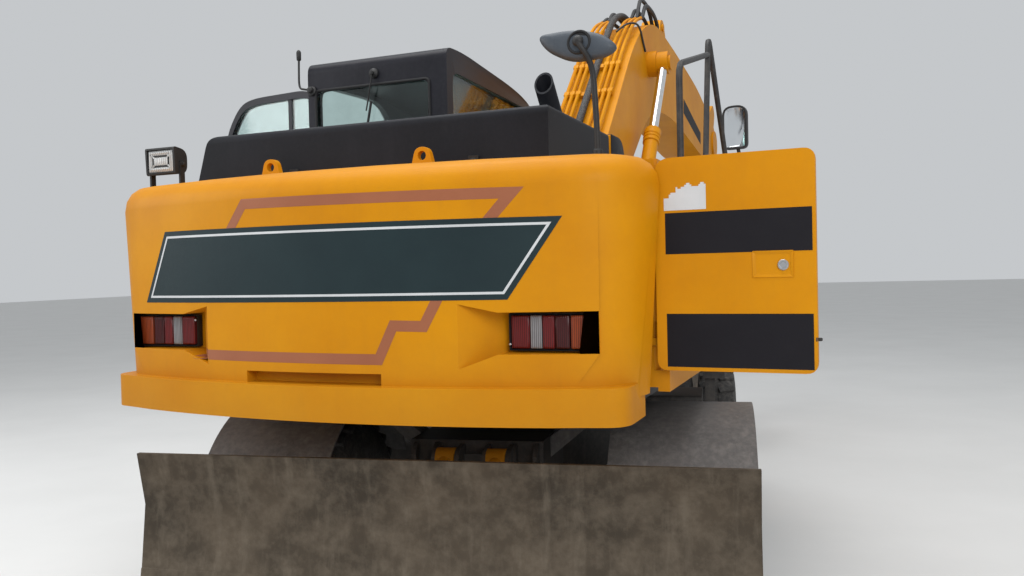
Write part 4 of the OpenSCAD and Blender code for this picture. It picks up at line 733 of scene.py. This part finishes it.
def tailLamps():
    half, face, rim, gap = tailLamp["width"] / 2, tailLamp["face"], tailLamp["rim"], tailLamp["gap"]
    room = tailLamp["width"] - 2 * rim - 2 * gap
    tall, deep = tailLamp["height"] - 2 * rim - 0.004, tailLamp["lensDepth"]
    for side, word in ((1, "Right"), (-1, "Left")):
        x, z = side * tailLamp["x"], tailLamp["z"]
        size = (tailLamp["width"], tailLamp["depth"], tailLamp["height"])
        housing = block("tailLamp" + word, (x, face + tailLamp["behind"], z), size, tailLamp["edge"])
        worked(housing, (0, -1, 0), (rim, tailLamp["recess"]))
        settle(housing, "mouldedBlack")
        if side > 0:
            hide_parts("tail_lamps")
        for index, (finish, near, far) in enumerate(tailLamp["lenses"]):
            at = side * (tailLamp["x"] - half + rim + gap + room * (near + far) / 2)
            lens = block("lens%s%d" % (word, index), (at, face + deep / 2, z),
                         (room * (far - near) - gap, deep, tall), tailLamp["lensEdge"])
            worked(lens, (0, -1, 0), tailLamp["lensDome"])
            settle(lens, finish, smooth=60)
        for end, where in ((-1, "In"), (1, "Out")):
            at = (x + end * (half - tailLamp["screwIn"]), face - 0.0005, z + tailLamp["screwRise"] * end)
            screw = turned("lampScrew" + word + where, at, (0, -1, 0), tailLamp["screw"], 12)
            settle(screw, "plateMetal")


tailLamps()
print("stage: tail")

# Rear mirror: a domed head on a ball, seen from its back
mirror = {
    "middle": (0.909, -1.895, 2.652), "lean": 84, "foot": (0.985, -1.900, 2.2053),
    "outline": [(-164, 56, 34), (-126, -7, 42), (-19, -65, 51), (105, -59, 34), (144, -45, 25),
        (163, -20, 25), (107, 32, 42), (-12, 65, 67)],
    "dome": [(0.955, -0.012), (1.0, -0.004), (1.0, 0.008), (0.975, 0.015), (0.92, 0.022), (0.83, 0.0275),
        (0.68, 0.0315), (0.50, 0.0338), (0.25, 0.0345)],
    "glass": [(0.93, -0.0135), (0.94, -0.0125), (0.94, -0.011)],
    "socket": [(0, 0.048), (0.012, 0.048), (0.016, 0.045), (0.016, 0.040), (0.010, 0.036), (0.0115, 0.010)],
    "ball": [(0, 0.012), (0.006, 0.019), (0.014, 0.022), (0.022, 0.020), (0.029, 0.012), (0.031, 0.004)],
    "stem": [(0, 0, 0), (-0.002, 0, 0.11), (-0.009, -0.001, 0.275), (-0.014, -0.002, 0.345),
        (-0.022, -0.022, 0.385), (-0.040, -0.045, 0.420), (-0.056, -0.046, 0.445)],
    "flange": [(0, 0.030), (0.008, 0.030), (0.012, 0.026), (0.014, 0.020), (0.040, 0.018), (0.044, 0.015)]}


def roundedOutline(points, steps=6):
    # corners of a flat outline, each rounded by its own reach, in metres
    flat = [(Vector(p[:2]) / 1000, p[2] / 1000) for p in points]
    loop = []
    for i, (p, reach) in enumerate(flat):
        before, after = flat[i - 1][0] - p, flat[(i + 1) % len(flat)][0] - p
        a = p + before.normalized() * min(reach, before.length * 0.49)
        b = p + after.normalized() * min(reach, after.length * 0.49)
        for k in range(steps + 1):
            t = k / steps
            loop.append(a * (1 - t) ** 2 + p * 2 * t * (1 - t) + b * t * t)
    return loop


def outlined(name, places):
    # a flat face with one corner at each place, left in edit mode with all of it selected
    bpy.ops.mesh.primitive_circle_add(vertices=len(places), radius=1, fill_type="NGON", location=(0, 0, 0))
    piece = named(name)
    startEdit(piece)
    form = bmesh.from_edit_mesh(piece.data)
    form.verts.ensure_lookup_table()
    for vertex, place in zip(form.verts, places):
        vertex.co = place
    bmesh.update_edit_mesh(piece.data)
    bpy.ops.mesh.select_all(action="SELECT")
    return piece


def shell(name, outline, rings, middle, tilt):
    # an outline drawn out ring by ring along its own axis: share of its size, and height
    first, low = rings[0]
    piece = outlined(name, [(place.x * first, place.y * first, low) for place in outline])
    for (share, height), (before, last) in zip(rings[1:], rings):
        drawn((0, 0, height - last))
        bpy.ops.transform.resize(value=(share / before, share / before, 1), center_override=(0, 0, height))
    evenNormals()
    endEdit()
    piece.location, piece.rotation_euler = middle, radiansOf(tilt)
    bpy.ops.object.transform_apply(location=True, rotation=True)
    return piece


def rearMirror():
    outline, lean = roundedOutline(mirror["outline"]), math.radians(mirror["lean"])
    tilt = (mirror["lean"], 0, 0)
    head, glass = [shell("rearMirror" + word, outline, mirror[rings], mirror["middle"], tilt)
                   for word, rings in (("Head", "dome"), ("Glass", "glass"))]
    settle(head, "mirrorShell", smooth=50)
    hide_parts("rear_mirror")
    settle(glass, "mirrorFace")
    out = Vector((0, -math.sin(lean), math.cos(lean)))
    at = Vector(mirror["middle"]) + Vector((0.017, 0, 0.003)) + out * 0.022
    settle(turned("rearMirrorSocket", at, out, mirror["socket"], 40), "sealRubber", smooth=30)
    settle(turned("rearMirrorBall", at + out * 0.010, out, mirror["ball"], 24), "mouldedBlack", smooth=60)
    foot = Vector(mirror["foot"])
    line = [foot + Vector(step) for step in mirror["stem"]] + [at + out * 0.030]
    settle(tube("rearMirrorStem", line, 0.0115, 5), "mouldedBlack", smooth=60)
    settle(turned("rearMirrorFoot", foot, (0, 0, 1), mirror["flange"], 28), "mouldedBlack", smooth=30)


rearMirror()


def frontMirror():
    head = shaped["front_mirror"]
    away = Matrix.Rotation(turn + math.radians(-8), 3, "Z") @ Vector((0, -1, 0))
    startEdit(head)
    pickFaces(head, lambda face: face.normal.dot(away) > 0.98 and face.calc_area() > 0.01)
    bpy.ops.mesh.inset(thickness=0.012)
    bpy.ops.transform.translate(value=away * -0.004)
    head.data.materials.append(bpy.data.materials["mirrorFace"])
    head.active_material_index = 1
    bpy.ops.object.material_slot_assign()
    endEdit()


frontMirror()

# Work lamp: lens in its black housing
workLamp = {
    "x": -1.033, "z": 2.3253, "face": -2.041, "lens": (0.142, 0.012, 0.098), "pivotOut": 0.090,
    "pivotAt": (-2.0, 2.3103),
    "pivot": [(0, 0.013), (0.004, 0.013), (0.004, 0.009), (0.011, 0.009), (0.012, 0.006)]}


def workLampLens():
    middle = (workLamp["x"], workLamp["face"] + 0.008, workLamp["z"])
    lens = block("workLampLens", middle, workLamp["lens"], 0.004)
    worked(lens, (0, -1, 0), (0.012, 0.003), (0.020, 0.0015))
    settle(lens, "workLens", smooth=60)
    for side, word in ((-1, "Left"), (1, "Right")):
        at = (workLamp["x"] + side * workLamp["pivotOut"], *workLamp["pivotAt"])
        settle(turned("workLampPivot" + word, at, (side, 0, 0), workLamp["pivot"], 6), "darkBolt")


workLampLens()

# Cab: rubber seal, wiper, aerial, door handle
cab = {
    "rear": -0.560, "seal": 0.009, "sealCorner": (0.05, 0.06), "window": (-1.192, -0.410, 2.330, 2.925),
    "wiperAt": (-0.776, -0.562, 2.990),
    "wiperPivot": [(0, 0.030), (0.012, 0.030), (0.018, 0.022), (0.024, 0.014), (0.034, 0.013),
        (0.036, 0.009)],
    "wiperArm": [(0, -0.028, 0), (-0.006, -0.030, -0.05), (-0.030, -0.022, -0.14), (-0.052, -0.016, -0.22)],
    "wiperBlade": ((-0.060, -0.012, -0.36), (0.012, 0.012, 0.40)), "aerialFoot": (-1.215, -0.564, 2.925),
    "aerialBase": [(0, 0.030), (0.010, 0.030), (0.016, 0.022), (0.034, 0.018), (0.038, 0.012)],
    "whip": [(0, -0.030, 0.004), (-0.040, -0.036, 0.010), (-0.064, -0.036, 0.018), (-0.072, -0.035, 0.050),
        (-0.073, -0.032, 0.110), (-0.073, -0.028, 0.21)], "tipAt": (-0.073, -0.028, 0.190),
    "tip": [(0, 0.009), (0.006, 0.014), (0.050, 0.015), (0.062, 0.010), (0.066, 0.005)],
    "doorSwing": ((-1.264, -0.474), 75.0),
    "handle": [(-1.252, 0.330, 1.900), (-1.285, 0.330, 1.900), (-1.295, 0.330, 1.890),
        (-1.295, 0.330, 1.800), (-1.285, 0.330, 1.770), (-1.252, 0.330, 1.770)],
    "lock": ((-1.253, 0.330, 1.835), (0.008, 0.070, 0.190))}


def windowSeal():
    # follows the rear window: two points near each corner, one in the middle of each side
    y, (x0, x1, z0, z1), (low, high) = cab["rear"] - 0.001, cab["window"], cab["sealCorner"]
    x, z = (x0 + x1) / 2, (z0 + z1) / 2
    path = [(x0 + low, z0), (x, z0), (x1 - low, z0), (x1, z0), (x1, z0 + low), (x1, z),
            (x1, z1 - high), (x1, z1), (x1 - high, z1), (x, z1), (x0 + high, z1), (x0, z1),
            (x0, z1 - high), (x0, z), (x0, z0 + low), (x0, z0)]
    seal = tube("rearWindowSeal", [(px, y, pz) for px, pz in path], cab["seal"], 3, closed=True)
    settle(seal, "sealRubber", smooth=60)


def wiper():
    pivot = Vector(cab["wiperAt"])
    settle(turned("wiperPivot", pivot, (0, -1, 0), cab["wiperPivot"], 24), "mouldedBlack")
    arm = tube("wiperArm", [pivot + Vector(step) for step in cab["wiperArm"]], 0.0045, 3)
    settle(arm, "mouldedBlack", smooth=60)
    middle, size = cab["wiperBlade"]
    blade = block("wiperBlade", pivot + Vector(middle), size, 0.003, (0, 12, 0))
    worked(blade, (0, 1, 0), (0.003, 0.005))
    settle(blade, "sealRubber")


def aerial():
    # on the rear left corner
    foot = Vector(cab["aerialFoot"])
    settle(turned("aerialBase", foot, (0, -1, 0.2), cab["aerialBase"], 24), "mouldedBlack")
    whip = tube("aerialWhip", [foot + Vector(step) for step in cab["whip"]], 0.0065, 4)
    settle(whip, "mouldedBlack", smooth=60)
    tip = turned("aerialTip", foot + Vector(cab["tipAt"]), (-0.001, 0.001, 0.2), cab["tip"], 20)
    settle(tip, "mouldedBlack", smooth=60)


def cabDoorTrim():
    onCabDoor = {"body": "cab_door", "swing": cab["doorSwing"]}
    settle(tube("cabDoorHandle", cab["handle"], 0.009, 4), "mouldedBlack", smooth=60, **onCabDoor)
    plate = block("cabDoorLock", *cab["lock"], 0.003)
    worked(plate, (-1, 0, 0), (0.008, -0.003))
    settle(plate, "mouldedBlack", **onCabDoor)


windowSeal()
wiper()
aerial()
cabDoorTrim()
print("stage: cab trim")

# Wheels: lugged treads on twin casings, nuts and a hub cap on the outer rim
tyre = {
    "radius": 0.525, "half": 0.1375, "seat": 0.2603, "inner": 0.7975, "outer": 1.1125, "lugs": 26,
    "lugHeight": 0.022,
    "bead": [(0.045, 0), (0.030, 0.018), (0.012, 0.060), (0.004, 0.085), (0.004, 0.100), (0, 0.112)],
    "shoulder": [(0, 0.120), (0.006, 0.060), (0.020, 0.026), (0.042, 0.008), (0.075, 0)],
    "groove": [(-0.012, 0), (-0.010, 0.006), (0.010, 0.006), (0.012, 0)], "axle": 0.525, "lugAt": 0.066,
    "lugSunk": 0.002, "lugSize": (0.108, 0.044), "lugEdge": 0.004, "lugSlant": (0, 0, 20),
    "lugDrawn": (0.004, 0.004, -0.016), "lugFlare": (1, 1.25, 1), "nutIn": 0.0500, "capOut": 0.0590,
    "nuts": 10, "nutCircle": 0.182,
    "nut": [(0, 0.020), (0.003, 0.020), (0.003, 0.0155), (0.018, 0.0155), (0.020, 0.011), (0.030, 0.010),
        (0.031, 0.007)],
    "cap": [(0, 0.085), (0.004, 0.085), (0.007, 0.080), (0.007, 0.034), (0.012, 0.030), (0.013, 0.010)]}
wheels = {  # end of the machine and side: its sign, and the axle's place
    ("rear", "right"): (1, -1.200),
    ("rear", "left"): (-1, -1.200),
    ("front", "right"): (1, 1.400),
    ("front", "left"): (-1, 1.400)}


def tyreCasing(name, x, y):
    r, h, low = tyre["radius"] - tyre["lugHeight"], tyre["half"], tyre["seat"]
    wall = ([(rise - h, low + up) for rise, up in tyre["bead"]]
            + [(rise - h, r - down) for rise, down in tyre["shoulder"]])
    groove = [(at, r - deep) for at, deep in tyre["groove"]]
    section = wall + groove + [(-at, radius) for at, radius in reversed(wall)]
    start = section[0][0]
    rings = [(at - start, radius) for at, radius in section]
    casing = turned(name, (x + start, y, tyre["axle"]), (1, 0, 0), rings, 64)
    startEdit(casing)
    pickFaces(casing, lambda face: len(face.verts) > 8)
    bpy.ops.mesh.delete(type="FACE")
    bpy.ops.mesh.select_mode(type="EDGE")
    bpy.ops.mesh.select_all(action="DESELECT")
    bpy.ops.mesh.select_non_manifold()
    bpy.ops.mesh.bridge_edge_loops()
    evenNormals()
    endEdit()
    return casing


def tyreLugs(name, x, y):
    # one slanted lug, copied round both shoulders
    high, sunk = tyre["lugHeight"], tyre["lugSunk"]
    middle = (tyre["lugAt"], 0, tyre["radius"] - high / 2 - sunk)
    size = (*tyre["lugSize"], high + 2 * sunk)
    lug = block(name + "Lug", middle, size, tyre["lugEdge"], tyre["lugSlant"], 1)
    startEdit(lug)
    pickFaces(lug, lambda face: face.normal.x > 0.6)
    bpy.ops.transform.translate(value=tyre["lugDrawn"])
    bpy.ops.transform.resize(value=tyre["lugFlare"])
    endEdit()
    pick(lug)
    bpy.ops.object.transform_apply(location=True, rotation=True, scale=True)
    places = []
    for k in range(tyre["lugs"]):
        for lag, flip in ((0, 0), (0.5, math.pi)):
            angle = 2 * math.pi * (k + lag) / tyre["lugs"]
            places.append(Matrix.Translation((x, y, tyre["axle"])) @ Matrix.Rotation(angle, 4, "X")
                          @ Matrix.Rotation(flip, 4, "Z"))
    return copied(lug, name, places)


def tyrePair(node, side, y, body):
    parts = []
    for x in (tyre["inner"], tyre["outer"]):
        parts += [tyreCasing(node + "Casing", side * x, y), tyreLugs(node + "Tread", side * x, y)]
    pair = joined(node + "Lugged", parts)
    settle(pair, "tyreRubber", body, upper=False, smooth=38)
    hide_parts(node)


def wheelNuts(name, side, y, body):
    at = Vector((side * (tyre["outer"] - tyre["nutIn"]), y, tyre["axle"] + tyre["nutCircle"]))
    nut = turned(name + "Nut", at, (side, 0, 0), tyre["nut"], 6)
    middle = Matrix.Translation((0, y, tyre["axle"]))
    places = [middle @ Matrix.Rotation(2 * math.pi * k / tyre["nuts"], 4, "X") @ middle.inverted()
              for k in range(tyre["nuts"])]
    settle(copied(nut, name + "Nuts", places), "darkBolt", body, upper=False)
    at = Vector((side * (tyre["outer"] + tyre["capOut"]), y, tyre["axle"]))
    settle(turned(name + "Cap", at, (side, 0, 0), tyre["cap"], 32), "axleGrey", body, upper=False)


for (end, word), (side, y) in wheels.items():
    tyrePair("tyres_%s_%s" % (end, word), side, y, "%s_%s_wheels" % (end, word))
for (end, word), (side, y) in wheels.items():
    wheelNuts(end + word.capitalize(), side, y, "%s_%s_wheels" % (end, word))
print("stage: wheels")

# Boom: sleeved hose, pipe clamps, ringed glands, a dark band on the right side
armX = 0.100
boomTrim = {
    "rows": [-0.190, -0.145, -0.100, 0.050, 0.095, 0.140], "clampAt": [0.500, 1.050, 1.300], "footZ": 1.990,
    "sleeveOff": (-0.026, 0.030), "saddle": (0.040, 0.046, 0.022), "saddleOff": (0.023, 0.036),
    "sleeve": [(0.330, 2.320), (0.800, 2.790), (1.300, 3.290), (1.600, 3.590), (1.800, 3.775),
        (2.020, 3.868), (2.200, 3.905), (2.400, 3.895)], "liftFoot": (0.600, 1.500),
    "liftEye": (2.050, 3.470), "liftOff": 0.325, "glandAt": 1.540,
    "gland": [(0, 0.0552), (0.006, 0.064), (0.030, 0.064), (0.034, 0.0605), (0.040, 0.0605), (0.044, 0.066),
        (0.062, 0.066), (0.066, 0.0605), (0.072, 0.0605), (0.076, 0.0665), (0.126, 0.0665), (0.134, 0.062),
        (0.136, 0.052), (0.137, 0.040)],
    "band": [(0.6, 3.547, 3.450), (0.6, 4.504, 3.241), (0.6, 4.490, 3.115), (0.6, 3.532, 3.305)]}


def boomTrimming():
    slope, up = Vector((0, 1, 1)).normalized(), Vector((0, -1, 1)).normalized()
    across, off = boomTrim["sleeveOff"]
    line = [Vector((armX + across, y, z)) + up * off for y, z in boomTrim["sleeve"]]
    settle(tube("boomSleeve", line, 0.027, 5), "sleeveMesh", "boom", smooth=60)
    saddle = block("pipeSaddle", (0, 0, 0), boomTrim["saddle"], 0.006, (45, 0, 0), 3)
    along, off = boomTrim["saddleOff"]
    places = [Matrix.Translation(Vector((armX + x, y, y + boomTrim["footZ"])) + slope * along + up * off)
              for y in boomTrim["clampAt"] for x in boomTrim["rows"]]
    settle(copied(saddle, "pipeSaddles", places), "yellowPaint", "boom")
    (y, z), (eyeY, eyeZ) = boomTrim["liftFoot"], boomTrim["liftEye"]
    lift = Vector((0, eyeY - y, eyeZ - z)).normalized()
    for side, word in ((1, "Right"), (-1, "Left")):
        start = Vector((armX + side * boomTrim["liftOff"], y, z)) + lift * boomTrim["glandAt"]
        gland = turned("liftGland" + word, start, lift, boomTrim["gland"], 40)
        settle(gland, "yellowPaint", "lift_ram_barrels")


boomTrimming()
film("boomSideBand", boomTrim["band"], 30, "blackFilm", shaped["boom"], body="boom", along="X")
print("stage: boom")

# Eyes and pins are painted; only the rods are bright
rodEyes = {
    "lift_rods": "yellowPaint", "dipper_rod": "yellowPaint", "bucket_rod": "yellowPaint",
    "blade_rods": "axleGrey"}


def paintedEyes(node, finish):
    # long faces lie along the bright rod; the rest belong to the eye and its pin
    piece = refined(node, 0.0015)
    piece.data.materials.append(bpy.data.materials[finish])
    startEdit(piece)
    pickFaces(piece, lambda face: max(edge.calc_length() for edge in face.edges) < 0.24)
    piece.active_material_index = 1
    bpy.ops.object.material_slot_assign()
    endEdit()


for node, finish in rodEyes.items():
    paintedEyes(node, finish)

# Operator's seat: padded cushions on a sprung base
seat = {
    "x": -0.7735, "pad": 0.008, "cap": 0.012, "voxel": 0.010, "pressure": 4.0, "frames": 20, "crown": 0.010,
    "seam": 0.007, "pan": ((0.040, 1.694), (0.440, 0.470, 0.022), 0.006, (4, 0, 0)),
    "panFoot": (0.030, -0.020), "bellowsAt": (0.030, 1.3858),
    "folds": 5, "foldPitch": 0.052, "fold": [(0.020, 0.190), (0.030, 0.196), (0.040, 0.190), (0.052, 0.158)],
    "bellowsEnds": [(0, 0.150), (0.292, 0.170)],
    "postOut": 0.055, "post": ((-0.312, 2.540), (-0.318, 2.600), (-0.322, 2.650)), "postRadius": 0.006,
    "hingeOut": 0.233, "hingeAt": (-0.175, 1.800), "hinge": ((0.014, 0.120, 0.150), 0.005, (10, 0, 0)),
    "hingeRim": 0.014, "hingeDish": (0.7, 1, 1)}
cushions = {  # middle behind and above, size, tilt, edge, seams along and across, half their width, fill
    "seatCushion": ((0.045, 1.772), (0.490, 0.520, 0.135), (4, 0, 0), 0.045, (-0.150, 0.150),
        (-0.080, 0.060), 0.150, 0.7),
    "seatBack": ((-0.245, 2.200), (0.470, 0.780, 0.120), (100.5, 0, 180), 0.045, (-0.150, 0.150),
        (-0.210, -0.060, 0.090), 0.150, 0.7),
    "seatHeadrest": ((-0.322, 2.665), (0.255, 0.200, 0.078), (96, 0, 180), 0.032, (), (), 0.0, 0.8)}


def swollen(pad):
    # the cover under pressure for a few frames; no point moves further than the cap
    start = [v.co.copy() for v in pad.data.vertices]
    swell = pad.modifiers.new("swell", "CLOTH")
    swell.settings.use_pressure = True
    swell.settings.uniform_pressure_force = seat["pressure"]
    swell.settings.effector_weights.gravity = 0.0
    swell.point_cache.frame_start, swell.point_cache.frame_end = 1, seat["frames"]
    for step in range(1, seat["frames"] + 1):
        bpy.context.scene.frame_set(step)
    soft = pad.evaluated_get(bpy.context.evaluated_depsgraph_get())
    end = [v.co.copy() for v in soft.data.vertices]
    pad.modifiers.remove(swell)
    for vertex, was, now in zip(pad.data.vertices, start, end):
        shift = now - was
        vertex.co = was + shift * min(1.0, seat["cap"] / max(shift.length, 1e-9))
    bpy.context.scene.frame_set(1)


def cushion(name, middle, size, tilt, edge, along, across, wide, fill):
    pad = block(name, (0, 0, 0), [side - 2 * seat["pad"] for side in size], edge, (0, 0, 0), 4)
    remesh = pad.modifiers.new("evenSkin", "REMESH")
    remesh.mode, remesh.voxel_size = "VOXEL", seat["voxel"]
    useModifiers(pad)
    swollen(pad)
    top, seam = size[2] / 2, seat["seam"]
    for vertex in pad.data.vertices:  # crown, and channels sewn into the padding
        x, y = vertex.co.x / (size[0] / 2), vertex.co.y / (size[1] / 2)
        if vertex.co.z > 0:
            crown = seat["crown"] * (1 - x * x) * (1 - y * y)
            sewn = sum(math.exp(-((vertex.co.x - at) / seam) ** 2) for at in along if abs(y) < 0.88)
            if abs(vertex.co.x) < wide:
                sewn += sum(math.exp(-((vertex.co.y - at) / seam) ** 2) for at in across)
            vertex.co.z += (crown - seam * min(1.0, sewn)) * min(1.0, max(0.0, vertex.co.z / (0.6 * top)))
    finer = pad.modifiers.new("finer", "SUBSURF")
    finer.levels = 1
    useModifiers(pad)
    pad.location, pad.rotation_euler = (seat["x"], *middle), radiansOf(tilt)
    settle(pad, "seatCloth", smooth=70)


def seatBase():
    x, (place, size, edge, tilt), (inset, drop) = seat["x"], seat["pan"], seat["panFoot"]
    pan = block("seatPan", (x, *place), size, edge, tilt)
    startEdit(pan)
    pickFaces(pan, lambda face: face.normal.z < -0.9)
    bpy.ops.mesh.inset(thickness=inset)
    drawn((0, 0, drop))
    endEdit()
    settle(pan, "mouldedBlack")
    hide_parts("seat")
    foot, top = seat["bellowsEnds"]
    folds = [(at + k * seat["foldPitch"], radius)
             for k in range(seat["folds"]) for at, radius in seat["fold"]]
    bellows = turned("seatBellows", (x, *seat["bellowsAt"]), (0, 0, 1), [foot, *folds, top], 40)
    settle(bellows, "sealRubber", smooth=60)
    for side, word in ((-1, "Left"), (1, "Right")):
        line = [(x + side * seat["postOut"], y, z) for y, z in seat["post"]]
        settle(tube("headrestPost" + word, line, seat["postRadius"], 4), "polishedRod", smooth=60)
    for side, word in ((-1, "Left"), (1, "Right")):
        middle = (x + side * seat["hingeOut"], *seat["hingeAt"])
        cheek = block("seatHinge" + word, middle, *seat["hinge"])
        startEdit(cheek)
        pickFaces(cheek, lambda face: abs(face.normal.x) > 0.9)
        bpy.ops.mesh.inset(thickness=seat["hingeRim"], use_individual=True)
        bpy.ops.transform.resize(value=seat["hingeDish"], center_override=middle)
        endEdit()
        settle(cheek, "mouldedBlack")


for name, row in cushions.items():
    cushion(name, *row)
seatBase()
print("stage: seat")

# Engine side: louvred grille on the left service door, with its lock
grille = {
    "skin": -1.245, "middle": (-1.615, 1.930), "size": (0.420, 0.330), "frame": (0.002, 0.010, 0.004),
    "frameRim": (0.016, -0.005), "louvres": 9, "margins": (0.040, 0.050),
    "slat": (0.004, 0.012, 0.005, 0.002), "slatTilt": (0, -32, 0), "lockAt": (-1.440, 1.560),
    "lock": [(0, 0.024), (0.004, 0.024), (0.006, 0.021), (0.006, 0.014), (0.003, 0.013), (0.003, 0.004)]}


def leftGrille():
    skin, (y, z), (wide, high), count = grille["skin"], grille["middle"], grille["size"], grille["louvres"]
    out, thick, edge = grille["frame"]
    border = block("grilleFrame", (skin - out, y, z), (thick, wide, high), edge)
    worked(border, (-1, 0, 0), grille["frameRim"])
    settle(border, "blackFilm", "left_service_door")
    (across, upright), (out, deep, thick, edge) = grille["margins"], grille["slat"]
    size, pitch = (deep, wide - across, thick), (high - upright) / count
    slat = block("grilleLouvres", (skin - out, y, z), size, edge, grille["slatTilt"])
    places = [Matrix.Translation((0, 0, (k - (count - 1) / 2) * pitch)) for k in range(count)]
    settle(copied(slat, "grilleLouvres", places), "mouldedBlack", "left_service_door")
    lock = turned("leftDoorLock", (skin, *grille["lockAt"]), (-1, 0, 0), grille["lock"], 24)
    settle(lock, "plateMetal", "left_service_door")


leftGrille()
filler = {
    "at": (0.930, -0.020, 2.2003), "sides": 36, "ridge": (0.0015, 0.0025),
    "rings": [(0, 0.058), (0.010, 0.058), (0.012, 0.050), (0.020, 0.050), (0.024, 0.062), (0.048, 0.062),
        (0.054, 0.056), (0.056, 0.020), (0.052, 0.018), (0.052, 0.006)]}


def fillerCap():
    # every second face of its upright walls stands proud
    def proud(face):
        middle = face.calc_center_median()
        sector = math.floor(math.atan2(middle.y, middle.x) * filler["sides"] / (2 * math.pi))
        return abs(face.normal.z) < 0.2 and sector % 2 == 0

    cap = turned("fillerCap", filler["at"], (0, 0, 1), filler["rings"], filler["sides"])
    startEdit(cap)
    pickFaces(cap, proud)
    bpy.ops.mesh.inset(thickness=filler["ridge"][0], depth=filler["ridge"][1], use_individual=True)
    endEdit()
    settle(cap, "mouldedBlack")


fillerCap()
treads = {  # name: middle, and size of the plate
    "tankTread": ((0.930, -0.560, 2.2020), (0.300, 0.640, 0.003)),
    "stepBoxTread": ((0.880, 0.560, 1.8320), (0.420, 0.180, 0.003)),
    "lowStepTread": ((0.880, 0.960, 1.5820), (0.420, 0.180, 0.003))}
tread = {
    "pitch": 0.045, "border": 0.02, "stud": [(0, 0.009), (0.002, 0.0085), (0.0035, 0.006), (0.0035, 0.003)]}


def treadPlate(name, middle, size):
    # a pressed plate with raised studs
    plate = block(name, middle, size, 0.0015)
    nx, ny = [max(2, round(side / tread["pitch"])) for side in size[:2]]
    stepX, stepY = (size[0] - tread["border"]) / nx, (size[1] - tread["border"]) / ny
    stud = turned(name + "Stud", (0, 0, size[2] / 2 - 0.0005), (0, 0, 1), tread["stud"], 10)
    places = [Matrix.Translation((middle[0] + (i + 0.5 - nx / 2) * stepX,
                                  middle[1] + (j + 0.5 - ny / 2) * stepY, middle[2]))
              for i in range(nx) for j in range(ny)]
    settle(joined(name, [plate, copied(stud, name + "Studs", places)]), "mouldedBlack")


for name, (middle, size) in treads.items():
    treadPlate(name, middle, size)
catches = {"across": (-0.620, 0.330), "at": (-1.606, 2.270), "size": (0.050, 0.014, 0.070)}


def hoodLatches():
    for index, x in enumerate(catches["across"]):
        catch = block("hoodLatch%d" % index, (x, *catches["at"]), catches["size"], 0.004)
        worked(catch, (0, -1, 0), (0.009, -0.004), (0.006, 0.006))
        settle(catch, "mouldedBlack", "hood")


hoodLatches()
pump = {
    "outline": [(-590, 2204, 0), (-590, 2509, 6), (-319, 2509, 172), (-319, 2204, 0)], "left": 0.244,
    "width": 0.442, "edge": 0.014}


def pumpCover():
    # the black cover beside the boom foot, over its own yellow core
    loop = roundedOutline(pump["outline"], 8)
    cover = outlined("pumpCover", [(pump["left"], place.x, place.y) for place in loop])
    drawn((pump["width"], 0, 0))
    bpy.ops.mesh.select_all(action="SELECT")
    bpy.ops.mesh.remove_doubles(threshold=0.0002)
    evenNormals()
    endEdit()
    softEdges(cover, pump["edge"], 3)
    settle(cover, "hoodBlack")


pumpCover()
crossLead = [(0.060, 1.560, 3.640), (0.120, 1.600, 3.705), (0.190, 1.660, 3.720), (0.212, 1.720, 3.690),
             (0.214, 1.800, 3.600), (0.214, 1.880, 3.540)]  # from the boom's middle
lead = tube("boomCrossLead", [(armX + x, y, z) for x, y, z in crossLead], 0.008, 4)
settle(lead, "hoseRubber", "boom", smooth=60)
print("stage: bodywork details")

# Floor and lights
bpy.ops.mesh.primitive_plane_add(size=120, location=(0, 20, 0))
floor = bpy.context.object
floor.name = "studioFloor"
tree, shader, place = newMaterial("floorPaint")
tint = rampOf(tree, noiseOf(tree, place, 0.8), [(0.3, (0.62, 0.62, 0.61)), (0.7, (0.66, 0.66, 0.65))])
fill(tree, shader, {"Base Color": tint, "Roughness": 0.8})
floor.data.materials.append(bpy.data.materials["floorPaint"])
world = bpy.data.worlds.new("softStudio")
world.use_nodes = True
sky = world.node_tree
fill(sky, sky.nodes["Background"], {"Color": (0.90, 0.93, 0.96), "Strength": 0.62})
bpy.context.scene.world = world
lamps = {  # name: place, aim point, size, watts
    "skyPanel": ((-1.0, -1.0, 11.0), (0, 0, 1), 9.0, 900),
    "rearPanel": ((4.5, -10.0, 5.5), (0, -1, 1.6), 5.0, 420),
    "leftPanel": ((-9.0, -4.0, 5.0), (0, 0, 1.6), 5.0, 260)}
for name, (place, target, size, watts) in lamps.items():
    bpy.ops.object.light_add(type="AREA", location=place)
    lamp = bpy.context.object
    lamp.name = name
    lamp.data.size = size
    lamp.data.energy = watts
    lamp.rotation_euler = (Vector(target) - Vector(place)).to_track_quat("-Z", "Y").to_euler()
print("stage: light")
